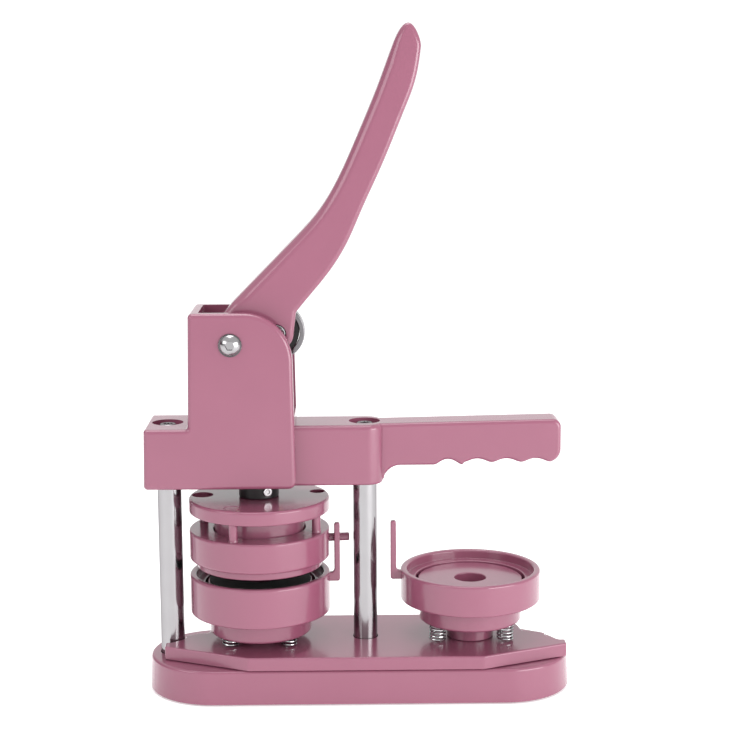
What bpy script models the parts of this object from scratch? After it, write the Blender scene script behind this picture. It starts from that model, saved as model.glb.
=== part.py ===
"""Hand-operated button badge maker: a swivelling two-die press on a stadium-shaped base.

All sizes are in metres.  The origin is on the floor under the centre of the base, +X runs
along the base towards the finger grip, -Y is the front and +Z is up.  The badge's size
(PLATEN_RADIUS) drives the dies, the dies drive the posts' places, and those drive the
turntable and the base.
"""
import math

import bmesh
import bpy
from mathutils import Matrix, Vector

# ---------------------------------------------------------------- driving dimensions
GAP = 0.0003                 # clearance between pieces that touch on the real object
CUT_OVER = 0.0020            # how far a cutter runs past the face that it opens
OVERLAP = 0.0020             # how far one shape starts inside the shape that it joins
TIP_ROOM = 0.0020            # room past the tip of a screw

# base
BASE_WIDTH = 0.0748
BASE_HEIGHT = 0.0187
BASE_LEFT_WALL = 0.0016      # base's end beyond the left post's boss
BASE_RIGHT_END = 0.00265     # base's end beyond the turntable
BASE_DRAFT = 0.0007          # how far the top outline lies inside the bottom one
BASE_WALL = 0.0032
BASE_EDGE = 0.0012
COVER_THICKNESS = 0.0020
FOOT_PROUD = 0.0008
FOOT_RADIUS = 0.0070
FOOT_SEAT = 0.0008           # how deep a foot sits in the cover
FOOT_INSET = 0.0030          # foot's side to the base's inner wall
BOSS_WALL = 0.00443          # boss round a post's socket
SOCKET_DEPTH = 0.0086        # how far a post reaches into the base

# posts
POST_RADIUS = 0.00657
POST_TAP_DEPTH = 0.0120
POST_CLEARANCE = 0.00393     # left post's side to the cups

# screws
SCREW_RADIUS = 0.0030
SCREW_HEAD_RADIUS = 0.0052
SCREW_HEAD_HEIGHT = 0.0034
SCREW_SOCKET_DEPTH = 0.0017
CAP_HEAD_RADIUS = 0.00447
CAP_HEAD_HEIGHT = 0.00255
CAP_SOCKET_DEPTH = 0.00153
SOCKET_RADIUS = 0.0024

# turntable
PLATE_LIFT = 0.0004          # plate's underside above the base
PLATE_THICKNESS = 0.0073
PLATE_HALF_WIDTH = 0.0373
PLATE_END = 0.00295          # plate's end beyond the left post's axis
FRONT_BEVEL = 0.04695        # length of the front corner that is cut off
TOOTH_CLEARANCE = 0.00283    # tooth in front of the left post
TOOTH_WIDTH = 0.0072
LOBE_RADIUS = 0.0144
LOBE_INSET = 0.01053         # lobe's centre inside the nest's wall
LOBE_DROP = 0.0080
LOBE_NECK = 0.0015           # lobe's centre to the start of the back corner
NECK_SLOPE = 0.0018
NECK_RISE = 0.0111
NEST_CLEARANCE = 0.0006
WASHER_WALL = 0.0069
WASHER_THICKNESS = 0.0013

# lower dies; heights are above the turntable's top unless a comment says otherwise
PLATEN_RADIUS = 0.0290       # half of the badge's width
PLATEN_CLEARANCE = 0.0012    # platen to the cup's bore
PLATEN_TOP = 0.0333
PLATEN_THICKNESS = 0.0083
PLATEN_EDGE = 0.0006
PLATEN_EYE_RADIUS = 0.0086
PLATEN_EYE_DEPTH = 0.0110
PLATEN_TAP_DEPTH = 0.0145
STEM_RADIUS = 0.0130
STEM_CLEARANCE = 0.0005
LEDGE_WIDTH = 0.0048         # ledge that the paper's rim lies on
CUP_WALL = 0.0038
CUP_STEP = 0.0106            # cup's outside to its flange's outside
CUP_EDGE = 0.0012
RECESS_DEPTH = 0.0050
RIGHT_RISE = 0.0057          # rim above the platen
RIGHT_BAND = 0.0172          # height of the cup's wide band
RIGHT_FLANGE = 0.0101        # flange's underside
LEFT_RISE = 0.0049
LEFT_BAND = 0.0220
LEFT_FLANGE = 0.0046
ROD_CLEARANCE = 0.00743      # rod's side to the centre post
ROD_STANDOFF = 0.0040        # rod's axis to the cup
ROD_WIDTH = 0.0032
ROD_DEPTH = 0.0036
ROD_RISE = 0.0272            # rod's top above the rim
ROD_FOOT_DROP = 0.0062       # foot's underside below the rim
ROD_FOOT_HEIGHT = 0.0050

# springs under the cups
SPRING_RADIUS = 0.0041       # to the middle of the wire
SPRING_WIRE = 0.00065
SPRING_TURNS = 3.6
RIGHT_SPRING_INSET = 0.0025  # spring's middle line to the flange's outside
RIGHT_SPRING_ANGLES = (-30, -150, 90)
LEFT_SPRING_INSET = 0.0016
LEFT_SPRING_ANGLES = (-45, -135, 135, 45)
POCKET_DEPTH = 0.0066        # left cup's spring pockets

# upper die
DIE_OPENING = 0.0083         # left cup's rim to the ring
RING_HEIGHT = 0.0167
RING_CLEARANCE = 0.0002      # ring's bore round the platen
RING_LIP = 0.0038
CRIMP_CLEARANCE = 0.0020     # crimp ring inside the cup's recess
CRIMP_ROOM = 0.0008          # crimp ring round the platen
CRIMP_PROUD = 0.0051         # below the ring
CRIMP_SEAT = 0.0038          # inside the ring
INNER_PROUD = 0.0015         # inner die below the ring
INNER_CLEARANCE = 0.0005     # inner die inside the ring's lip
INNER_PAD_CLEARANCE = 0.0006
INNER_PAD_HEIGHT = 0.0070
LIP_ROOM = 0.0014            # ring's lip above the inner die's pad
DISC_LIFT = 0.0099           # ring to the press disc
DISC_THICKNESS = 0.00775
PILLAR_INSET = 0.0048        # pillar's axis to the ring's outside
PILLAR_RADIUS = 0.0025
PILLAR_ANGLES = (-111.4, -21.4, 68.6, 158.6)
PEG_ANGLE = 7.0
PEG_DROP = 0.0076            # peg's axis below the ring's top
PEG_RADIUS = 0.0023
PEG_TIP = 0.0085             # peg's tip to the centre post's axis
DISC_HOLES = ((0.0056, 15.7, 0.0042), (0.0073, 175.3, 0.0060))   # inset, angle, radius
STACK_SEAT = 0.0016          # stack screw's head above the inner die's face
STACK_TAP_DEPTH = 0.0160

# ram
RAM_RADIUS = 0.0110
RAM_SHOWS = 0.00845          # length of ram between the disc and the block
RAM_TRAVEL = 0.0070
BUSH_WALL = 0.0022
CAP_OVERHANG = 0.0030        # cap's flange past the ram
CAP_FLANGE = 0.0030
BUTTON_RADIUS = 0.0080
BUTTON_HEIGHT = 0.0030
BUTTON_EDGE = 0.0010
GRUB_RADIUS = 0.0026
GRUB_PROUD = 0.0008
GRUB_RISE = 0.0040
GRUB_ANGLE = -63
RETURN_WIRE = 0.0008
RETURN_CLEARANCE = 0.0013    # return spring's wire to the ram
RETURN_TURNS = 6

# upper body: block, tower, arm and finger grip
ARM_HEIGHT = 0.0331
COUNTERBORE_WALL = 0.00193   # counterbore's radius past the post's
COUNTERBORE_DEPTH = 0.0035
POST_CROWN = 0.0080          # post's top below the arm's top
BLOCK_END_WALL = 0.0031      # block's end past the counterbore
BLOCK_DRAFT = 0.0006
TOWER_RISE = 0.0625          # tower above the arm's top
TOWER_TAPER = 0.0012
TOWER_CORNER = 0.0262
TOWER_WALL = 0.0055
TOWER_END_WALL = 0.0065
TOWER_FLOOR_RISE = 0.0227    # floor of the tower's well above the block's underside
TOWER_SILL_RISE = 0.0056     # where its right side opens, above the arm's top
HUB_CLEARANCE = 0.0041       # lever's hub to the tower's left wall
CAP_CLEARANCE = 0.0007       # ram's cap to the tower's right wall
SIDE_ROOM = 0.0050           # lever's side to the tower's wall, filled by its boss
MID_HALF_DEPTH = 0.0150
MID_CORNER = 0.0090
BOSS_END_WALL = 0.0015       # arm's wide part past the counterbore
GRIP_HALF_DEPTH = 0.0098
GRIP_LENGTH = 0.1070         # from the centre post
GRIP_RISE = 0.0018
GRIP_STEP = 0.0099           # grip's underside above the arm's
GRIP_THROAT = 0.0095         # hollow curve from the arm to the grip
GRIP_HEEL = 0.0075
GRIP_HEEL_RISE = 0.0085
GRIP_CORNER = 0.0045
GROOVE_FIRST = 0.0454        # first finger groove from the centre post
GROOVE_PITCH = 0.0160
GROOVE_COUNT = 4
GROOVE_DEPTH = 0.0034
GROOVE_LIFT = 0.0012         # rims of the later grooves above the first one's

# lever
LEVER_SWING = 65.0
PIVOT_REACH = 0.0129         # pivot to the left of the die's axis
PIVOT_DROP = 0.01675         # pivot below the tower's top
ROLLER_REST_ANGLE = 10.0
ROLLER_RADIUS = 0.0150
ROLLER_WIDTH = 0.0090
ROLLER_WELL = 0.0020         # room between the roller and the lever
RACE_WALL = 0.0027
INNER_RACE_WALL = 0.0018
SEAL_INSET = 0.0007
AXLE_RADIUS = 0.0050
AXLE_INSET = 0.0008
FORK_WALL = 0.0042
FORK_CHEEK = 0.0068
FORK_CLEARANCE = 0.0007
LEVER_HUB_WALL = 0.0090
LEVER_BOSS_WALL = 0.0045
BOLT_RADIUS = 0.0040
BOLT_WALL = 0.0036           # pivot bolt to the roller's well
BOLT_HEAD_RADIUS = 0.0062
BOLT_HEAD_HEIGHT = 0.0034
BOLT_HEAD_RIM = 0.0006
BOLT_DOME_DROP = 0.0035
BOLT_END_INSET = 0.0012
NUT_RADIUS = 0.0072
NUT_HEIGHT = 0.0062

# ---------------------------------------------------------------- sizes worked out
LEDGE_BORE = PLATEN_RADIUS + PLATEN_CLEARANCE
CUP_BORE = LEDGE_BORE + LEDGE_WIDTH
CUP_RADIUS = CUP_BORE + CUP_WALL
FLANGE_RADIUS = CUP_RADIUS - CUP_STEP
RIGHT_RIM = PLATEN_TOP + RIGHT_RISE
LEFT_RIM = PLATEN_TOP + LEFT_RISE
RIGHT_SPRING_CIRCLE = FLANGE_RADIUS - RIGHT_SPRING_INSET - SPRING_RADIUS
LEFT_SPRING_CIRCLE = FLANGE_RADIUS - LEFT_SPRING_INSET - SPRING_RADIUS
ROD_REACH = POST_RADIUS + ROD_CLEARANCE + ROD_WIDTH / 2
DIE_REACH = ROD_REACH + ROD_STANDOFF + CUP_RADIUS
LEFT_POST_REACH = DIE_REACH + CUP_RADIUS + POST_CLEARANCE + POST_RADIUS
PLATE_HALF_LENGTH = LEFT_POST_REACH + PLATE_END
NEST_RADIUS = POST_RADIUS + NEST_CLEARANCE
LOBE_SET_BACK = NEST_RADIUS + LOBE_INSET
TOOTH_BACK = POST_RADIUS + TOOTH_CLEARANCE
TOOTH_FRONT = TOOTH_BACK + TOOTH_WIDTH
BOSS_RADIUS = POST_RADIUS + BOSS_WALL
BASE_LEFT_END = BOSS_RADIUS + BASE_LEFT_WALL
BASE_LENGTH = BASE_LEFT_END + LEFT_POST_REACH + PLATE_HALF_LENGTH + BASE_RIGHT_END
WASHER_RADIUS = POST_RADIUS + WASHER_WALL

RING_LOW = LEFT_RIM + DIE_OPENING
RING_TOP = RING_LOW + RING_HEIGHT
RING_BORE = PLATEN_RADIUS + RING_CLEARANCE
RING_LIP_BORE = RING_BORE - RING_LIP
CRIMP_RADIUS = CUP_BORE - CRIMP_CLEARANCE
CRIMP_BORE = PLATEN_RADIUS + CRIMP_ROOM
INNER_BOTTOM = RING_LOW - INNER_PROUD
INNER_PAD_TOP = INNER_BOTTOM + INNER_PAD_HEIGHT
INNER_RADIUS = RING_LIP_BORE - INNER_CLEARANCE
INNER_PAD_RADIUS = RING_BORE - INNER_PAD_CLEARANCE
PILLAR_CIRCLE = CUP_RADIUS - PILLAR_INSET
DISC_LOW = RING_TOP + DISC_LIFT
DISC_TOP = DISC_LOW + DISC_THICKNESS

ARM_BOTTOM = DISC_TOP + RAM_SHOWS
ARM_TOP = ARM_BOTTOM + ARM_HEIGHT
TOWER_TOP = ARM_TOP + TOWER_RISE
TOWER_FLOOR = ARM_BOTTOM + TOWER_FLOOR_RISE
TOWER_SILL = ARM_TOP + TOWER_SILL_RISE
CAP_RADIUS = RAM_RADIUS + CAP_OVERHANG
TOWER_RIGHT = CAP_RADIUS + CAP_CLEARANCE + TOWER_END_WALL
COUNTERBORE_RADIUS = POST_RADIUS + COUNTERBORE_WALL
BLOCK_OVERHANG = COUNTERBORE_RADIUS + BLOCK_END_WALL
BOSS_END = COUNTERBORE_RADIUS + BOSS_END_WALL

ROLLER_ARM = BOLT_RADIUS + BOLT_WALL + ROLLER_WELL + ROLLER_RADIUS
LEVER_HUB_RADIUS = BOLT_RADIUS + LEVER_HUB_WALL
LEVER_BOSS_RADIUS = BOLT_RADIUS + LEVER_BOSS_WALL
LEVER_HALF_DEPTH = ROLLER_WIDTH / 2 + FORK_CLEARANCE + FORK_CHEEK
FORK_RADIUS = AXLE_RADIUS + FORK_WALL
SLOT_HALF_DEPTH = LEVER_HALF_DEPTH + SIDE_ROOM
BLOCK_HALF_DEPTH = SLOT_HALF_DEPTH + TOWER_WALL
TOWER_LEFT = PIVOT_REACH + LEVER_HUB_RADIUS + HUB_CLEARANCE + TOWER_END_WALL
PIVOT_HEIGHT = TOWER_TOP - PIVOT_DROP
PRESS_DROP = ROLLER_ARM * math.sin(math.radians(LEVER_SWING - ROLLER_REST_ANGLE))
CAP_TOP = PIVOT_HEIGHT - PRESS_DROP - ROLLER_RADIUS + RAM_TRAVEL
CAP_LOW = CAP_TOP - BUTTON_HEIGHT - CAP_FLANGE

# ---------------------------------------------------------------- places worked out
CENTER_X = BASE_LENGTH / 2 - BASE_RIGHT_END - PLATE_HALF_LENGTH
LEFT_POST_X = CENTER_X - LEFT_POST_REACH
LEFT_DIE_X = CENTER_X - DIE_REACH
RIGHT_DIE_X = CENTER_X + DIE_REACH
BASE_TOP = FOOT_PROUD + BASE_HEIGHT
PLATE_BOTTOM = BASE_TOP + PLATE_LIFT
PLATE_TOP = PLATE_BOTTOM + PLATE_THICKNESS
POST_BOTTOM = BASE_TOP - SOCKET_DEPTH + GAP
POST_TOP = PLATE_TOP + ARM_TOP - POST_CROWN
PIVOT = Vector((LEFT_DIE_X - PIVOT_REACH, 0, PLATE_TOP + PIVOT_HEIGHT))
ROLLER = PIVOT + ROLLER_ARM * Vector((math.cos(math.radians(ROLLER_REST_ANGLE)), 0,
                                      math.sin(math.radians(ROLLER_REST_ANGLE))))

# lever outline, measured from the pivot: (right, up) along the back edge, then the tip,
# then back down along the finger side
LEVER_BACK = ((0.0010, 0.0215), (0.0345, 0.0555), (0.0475, 0.0694), (0.0571, 0.0853),
              (0.0636, 0.0991), (0.0785, 0.1337), (0.0849, 0.1512), (0.0895, 0.1622))
LEVER_TIP = ((0.0930, 0.1671), (0.0964, 0.1677), (0.0997, 0.1637))
LEVER_FRONT = ((0.1020, 0.1560), (0.1008, 0.1455), (0.0983, 0.1345), (0.0935, 0.1240),
               (0.0876, 0.1090), (0.0792, 0.0893), (0.0707, 0.0716), (0.0643, 0.0560),
               (0.0579, 0.0444), (0.0494, 0.0328), (0.0408, 0.0232), (0.0349, 0.0158))


# ---------------------------------------------------------------- helpers
def clear_scene():
    for obj in list(bpy.data.objects):
        bpy.data.objects.remove(obj)


def make_collection(name):
    collection = bpy.data.collections.new(name)
    bpy.context.scene.collection.children.link(collection)
    return collection


def make_material(name, colour, roughness, metallic=0.0):
    material = bpy.data.materials.new(name)
    material.use_nodes = True
    shader = material.node_tree.nodes["Principled BSDF"]
    shader.inputs["Base Color"].default_value = (*colour, 1)
    shader.inputs["Roughness"].default_value = roughness
    shader.inputs["Metallic"].default_value = metallic
    material.diffuse_color = (*colour, 1)
    return material


def add_object(name, mesh, material=None):
    """Link a mesh as a named part, or as a hidden cutter when it has no material."""
    obj = bpy.data.objects.new(name, mesh)
    if material:
        mesh.materials.clear()
        mesh.materials.append(material)
        PARTS.objects.link(obj)
        mesh.shade_smooth()
        mesh.set_sharp_from_angle(angle=math.radians(35))
    else:
        CUTTERS.objects.link(obj)
        obj.hide_render = True
        obj.display_type = "WIRE"
    return obj


def bm_to_mesh(name, bm):
    mesh = bpy.data.meshes.new(name)
    bm.to_mesh(mesh)
    bm.free()
    return mesh


def cylinder_mesh(name, radius, start, end, sides=32):
    """A capped cylinder between two points."""
    start, end = Vector(start), Vector(end)
    axis = end - start
    bm = bmesh.new()
    bmesh.ops.create_cone(bm, cap_ends=True, segments=sides, radius1=radius, radius2=radius,
                          depth=axis.length)
    turn = Vector((0, 0, 1)).rotation_difference(axis).to_matrix().to_4x4()
    bmesh.ops.transform(bm, matrix=Matrix.Translation((start + end) / 2) @ turn, verts=bm.verts)
    return bm_to_mesh(name, bm)


def box_mesh(name, low, high):
    low, high = Vector(low), Vector(high)
    bm = bmesh.new()
    bmesh.ops.create_cube(bm, size=1)
    bmesh.ops.transform(bm, matrix=Matrix.Translation((low + high) / 2)
                        @ Matrix.Diagonal((high - low).to_4d()), verts=bm.verts)
    return bm_to_mesh(name, bm)


def arc(centre, radius, first, last, count):
    """Points along an arc, angles in degrees."""
    points = []
    for i in range(count + 1):
        angle = math.radians(first + (last - first) * i / count)
        points.append((centre[0] + radius * math.cos(angle), centre[1] + radius * math.sin(angle)))
    return points


def polar(circle, angle):
    return circle * math.cos(math.radians(angle)), circle * math.sin(math.radians(angle))


def smooth_line(points, steps):
    """A Catmull-Rom line through the points."""
    ends = [points[0], *points, points[-1]]
    line = []
    for before, start, end, after in zip(ends, ends[1:], ends[2:], ends[3:]):
        for i in range(steps):
            t = i / steps
            line.append(tuple(
                0.5 * (2 * b + (c - a) * t + (2 * a - 5 * b + 4 * c - d) * t * t
                       + (3 * b - a - 3 * c + d) * t ** 3)
                for a, b, c, d in zip(before, start, end, after)))
    return [*line, points[-1]]


def outline_mesh(name, outline, low, high, upright=False):
    """A flat outline given thickness along Z, or along Y when it stands upright in XZ."""
    curve = bpy.data.curves.new(name, "CURVE")
    curve.dimensions = "2D"
    curve.fill_mode = "BOTH"
    curve.extrude = (high - low) / 2
    spline = curve.splines.new("POLY")
    spline.points.add(len(outline) - 1)
    for point, (a, b) in zip(spline.points, outline):
        point.co = (a, b, 0, 1)
    spline.use_cyclic_u = True
    guide = bpy.data.objects.new(name, curve)
    CUTTERS.objects.link(guide)
    middle = (low + high) / 2
    if upright:
        guide.matrix_world = Matrix.Translation((0, middle, 0)) @ Matrix.Rotation(math.pi / 2, 4, "X")
    else:
        guide.matrix_world = Matrix.Translation((0, 0, middle))
    bpy.context.view_layer.update()
    evaluated = guide.evaluated_get(bpy.context.evaluated_depsgraph_get())
    mesh = bpy.data.meshes.new_from_object(evaluated)
    mesh.transform(guide.matrix_world)
    bpy.data.objects.remove(guide)
    bm = bmesh.new()
    bm.from_mesh(mesh)
    bmesh.ops.remove_doubles(bm, verts=bm.verts, dist=1e-6)
    bmesh.ops.recalc_face_normals(bm, faces=bm.faces)
    bm.to_mesh(mesh)
    bm.free()
    return mesh


def turned(name, profile, place, material=None, steps=40, closed=False, lying=False):
    """A (radius, height) profile spun round a vertical axis, or round Y when it lies."""
    mesh = bpy.data.meshes.new(name)
    edges = [(i, i + 1) for i in range(len(profile) - 1)]
    if closed:
        edges.append((len(profile) - 1, 0))
    mesh.from_pydata([(r, 0, z) for r, z in profile], edges, [])
    obj = add_object(name, mesh, material)
    screw = obj.modifiers.new("turn", "SCREW")
    screw.steps = steps
    screw.render_steps = steps
    screw.use_merge_vertices = True
    screw.merge_threshold = 0.00001
    obj.location = place
    if lying:
        obj.rotation_euler = (math.pi / 2, 0, 0)
    return obj


def boolean(target, tool, operation):
    modifier = target.modifiers.new(tool.name, "BOOLEAN")
    modifier.operation = operation
    modifier.object = tool
    return target


def cut(target, mesh):
    return boolean(target, add_object(mesh.name, mesh), "DIFFERENCE")


def join(target, mesh):
    return boolean(target, add_object(mesh.name, mesh), "UNION")


def tube_profile(outer, inner, low, high):
    """Closed profile of a plain ring, outer side first and running down."""
    return [(outer, high), (outer, low), (inner, low), (inner, high)]


def coil(name, centre, low, high, radius, wire, turns, material, per_turn=8):
    """A compression spring as a round wire on a helix."""
    count = int(turns * per_turn)
    bottom = low + wire
    rise = high - low - 2 * wire
    curve = bpy.data.curves.new(name, "CURVE")
    curve.dimensions = "3D"
    curve.bevel_depth = wire
    curve.bevel_resolution = 2
    curve.use_fill_caps = True
    curve.materials.append(material)
    spline = curve.splines.new("POLY")
    spline.points.add(count)
    for i, point in enumerate(spline.points):
        angle = 2 * math.pi * i / per_turn
        point.co = (radius * math.cos(angle), radius * math.sin(angle), rise * i / count, 1)
    obj = bpy.data.objects.new(name, curve)
    PARTS.objects.link(obj)
    obj.location = (*centre, bottom)
    return obj


def joint_empty(name, place):
    empty = bpy.data.objects.new(name, None)
    empty.location = place
    PARTS.objects.link(empty)
    bpy.context.view_layer.update()
    return empty


def mount_on(empty, objects):
    """Parent objects to a joint's empty without moving them."""
    for obj in objects:
        obj.parent = empty
        obj.matrix_parent_inverse = empty.matrix_world.inverted()


# ---------------------------------------------------------------- base
def stadium(length, width):
    radius = width / 2
    reach = length / 2 - radius
    return (arc((reach, 0), radius, -90, 90, 16) + arc((-reach, 0), radius, 90, 270, 16))


def make_base(pink):
    shell_mesh = outline_mesh("base_shell", stadium(BASE_LENGTH, BASE_WIDTH), FOOT_PROUD, BASE_TOP)
    for vertex in shell_mesh.vertices:
        if vertex.co.z > (FOOT_PROUD + BASE_TOP) / 2:
            vertex.co.x -= math.copysign(BASE_DRAFT, vertex.co.x)
            vertex.co.y *= 1 - 2 * BASE_DRAFT / BASE_WIDTH
    shell = add_object("base_shell", shell_mesh, pink)
    edge = shell.modifiers.new("rounded top", "BEVEL")
    edge.width = BASE_EDGE
    edge.segments = 2
    edge.limit_method = "ANGLE"
    edge.angle_limit = math.radians(60)
    inner = 2 * BASE_WALL
    cavity = add_object("base_cavity", outline_mesh(
        "base_cavity", stadium(BASE_LENGTH - inner, BASE_WIDTH - inner),
        FOOT_PROUD - CUT_OVER, BASE_TOP - BASE_WALL))
    boolean(shell, cavity, "DIFFERENCE")
    boss_bottom = FOOT_PROUD + COVER_THICKNESS + GAP
    head_top = boss_bottom + SCREW_HEAD_HEIGHT + GAP
    for label, x in (("left", LEFT_POST_X), ("center", CENTER_X)):
        cut(cavity, cylinder_mesh(f"{label}_boss", BOSS_RADIUS, (x, 0, boss_bottom),
                                  (x, 0, BASE_TOP), 24))
        cut(shell, cylinder_mesh(f"{label}_socket", POST_RADIUS + GAP,
                                 (x, 0, POST_BOTTOM - GAP), (x, 0, BASE_TOP + CUT_OVER), 32))
        cut(shell, cylinder_mesh(f"{label}_screw_way", SCREW_RADIUS + GAP,
                                 (x, 0, boss_bottom - CUT_OVER), (x, 0, POST_BOTTOM + CUT_OVER), 16))
        cut(shell, cylinder_mesh(f"{label}_head_way", SCREW_HEAD_RADIUS + GAP,
                                 (x, 0, boss_bottom - CUT_OVER), (x, 0, head_top), 24))
    cut(shell, cylinder_mesh("washer_seat", WASHER_RADIUS + GAP,
                             (CENTER_X, 0, PLATE_BOTTOM - WASHER_THICKNESS - 2 * GAP),
                             (CENTER_X, 0, BASE_TOP + CUT_OVER), 32))
    return shell


def make_base_cover(grey, rubber):
    inset = 2 * (BASE_WALL + GAP)
    cover = add_object("base_cover", outline_mesh(
        "base_cover", stadium(BASE_LENGTH - inset, BASE_WIDTH - inset),
        FOOT_PROUD, FOOT_PROUD + COVER_THICKNESS), grey)
    foot_x = BASE_LENGTH / 2 - BASE_WIDTH / 2
    foot_y = BASE_WIDTH / 2 - BASE_WALL - FOOT_RADIUS - FOOT_INSET
    corners = [(x, y) for x in (-foot_x, foot_x) for y in (-foot_y, foot_y)]
    for number, (x, y) in enumerate(corners, 1):
        cut(cover, cylinder_mesh(f"foot_seat_{number}", FOOT_RADIUS + GAP, (x, y, -CUT_OVER),
                                 (x, y, FOOT_PROUD + FOOT_SEAT + GAP), 24))
        foot = cylinder_mesh(f"rubber_foot_{number}", FOOT_RADIUS, (x, y, 0),
                             (x, y, FOOT_PROUD + FOOT_SEAT), 24)
        add_object(f"rubber_foot_{number}", foot, rubber)
    return cover


def make_posts(chrome, steel):
    """Two chromed posts, tapped at both ends, with the screws that hold them."""
    tap = SCREW_RADIUS + GAP
    profile = [(0, POST_TOP - POST_TAP_DEPTH), (tap, POST_TOP - POST_TAP_DEPTH), (tap, POST_TOP),
               (POST_RADIUS, POST_TOP), (POST_RADIUS, POST_BOTTOM), (tap, POST_BOTTOM),
               (tap, POST_BOTTOM + POST_TAP_DEPTH), (0, POST_BOTTOM + POST_TAP_DEPTH)]
    arm_top = PLATE_TOP + ARM_TOP
    seat = arm_top - COUNTERBORE_DEPTH
    under = FOOT_PROUD + COVER_THICKNESS + GAP
    for label, x in (("left", LEFT_POST_X), ("center", CENTER_X)):
        turned(f"{label}_post", profile, (x, 0, 0), chrome, steps=28)
        cap_screw(f"{label}_post_top_screw", x, seat + GAP, POST_TOP - POST_TAP_DEPTH + TIP_ROOM,
                  chrome)
        foot_screw(f"{label}_post_foot_screw", x, under + SCREW_HEAD_HEIGHT,
                   POST_BOTTOM + POST_TAP_DEPTH - TIP_ROOM, steel)


def cap_screw(name, x, low, tip, material):
    """Socket screw with its head up; low is the head's seat and tip the shank's end."""
    high = low + CAP_HEAD_HEIGHT
    profile = [(0, high - CAP_SOCKET_DEPTH), (SOCKET_RADIUS, high - CAP_SOCKET_DEPTH),
               (SOCKET_RADIUS, high), (CAP_HEAD_RADIUS, high), (CAP_HEAD_RADIUS, low),
               (SCREW_RADIUS, low), (SCREW_RADIUS, tip), (0, tip)]
    return turned(name, profile, (x, 0, 0), material, steps=16)


def foot_screw(name, x, high, tip, material):
    """Socket screw with its head down; high is the head's seat and tip the shank's end."""
    low = high - SCREW_HEAD_HEIGHT
    roof = low + SCREW_SOCKET_DEPTH
    profile = [(0, tip), (SCREW_RADIUS, tip), (SCREW_RADIUS, high), (SCREW_HEAD_RADIUS, high),
               (SCREW_HEAD_RADIUS, low), (SOCKET_RADIUS, low), (SOCKET_RADIUS, roof), (0, roof)]
    return turned(name, profile, (x, 0, 0), material, steps=16)


# ---------------------------------------------------------------- upper body
def tower_outline():
    """Side view of the block and its tower, from the left post's end round clockwise."""
    bottom, arm, top = PLATE_TOP + ARM_BOTTOM, PLATE_TOP + ARM_TOP, PLATE_TOP + TOWER_TOP
    left = LEFT_POST_X - BLOCK_OVERHANG
    tower_left = LEFT_DIE_X - TOWER_LEFT
    right = LEFT_DIE_X + TOWER_RIGHT
    shoulder = right - TOWER_TAPER
    corner = arc((shoulder - TOWER_CORNER, top - TOWER_CORNER), TOWER_CORNER, 0, 90, 10)
    return [(left, bottom), (right, bottom), *corner, (tower_left + TOWER_TAPER, top),
            (tower_left, arm), (left + BLOCK_DRAFT, arm)]


def grip_outline():
    """Side view of the finger grip, which starts inside the arm."""
    arm_bottom, arm_top = PLATE_TOP + ARM_BOTTOM, PLATE_TOP + ARM_TOP
    flat = arm_bottom + GRIP_STEP
    start = CENTER_X + BOSS_END
    end = CENTER_X + GRIP_LENGTH
    top = arm_top + GRIP_RISE
    corner = min(GRIP_CORNER, (top - flat) / 3)
    points = [(CENTER_X - OVERLAP, arm_top - GAP), (CENTER_X - OVERLAP, arm_bottom + 2 * GAP),
              (start - OVERLAP, arm_bottom + 2 * GAP)]
    points += arc((start + GRIP_THROAT, flat - GRIP_THROAT), GRIP_THROAT, 165, 90, 5)
    for groove in range(GROOVE_COUNT):
        centre = CENTER_X + GROOVE_FIRST + groove * GROOVE_PITCH
        rim = flat + GROOVE_LIFT * (groove > 0)
        points += groove_arc(centre, rim, flat + GROOVE_DEPTH, groove == 0)
    points += arc((end - GRIP_HEEL, flat + GRIP_HEEL_RISE), GRIP_HEEL, -65, 0, 5)
    points += arc((end - corner, top - corner), corner, 0, 90, 4)
    return points


def groove_arc(centre, rim, roof, first):
    """One scalloped finger groove, an arc through its rim and roof."""
    half = GROOVE_PITCH / 2
    rise = roof - rim
    radius = (half * half + rise * rise) / (2 * rise)
    spread = math.degrees(math.asin(half / radius))
    line = arc((centre, roof - radius), radius, 90 + spread, 90 - spread, 6)
    return line if first else line[1:]


def arm_plan():
    """Plan of the arm between the tower and the centre post, with rounded right corners."""
    left = LEFT_DIE_X + TOWER_RIGHT - 2 * OVERLAP
    right = CENTER_X + BOSS_END
    inset = MID_HALF_DEPTH - MID_CORNER
    return [(left, MID_HALF_DEPTH), (left, -MID_HALF_DEPTH),
            *arc((right - MID_CORNER, -inset), MID_CORNER, -90, 0, 6),
            *arc((right - MID_CORNER, inset), MID_CORNER, 0, 90, 6)]


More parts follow.
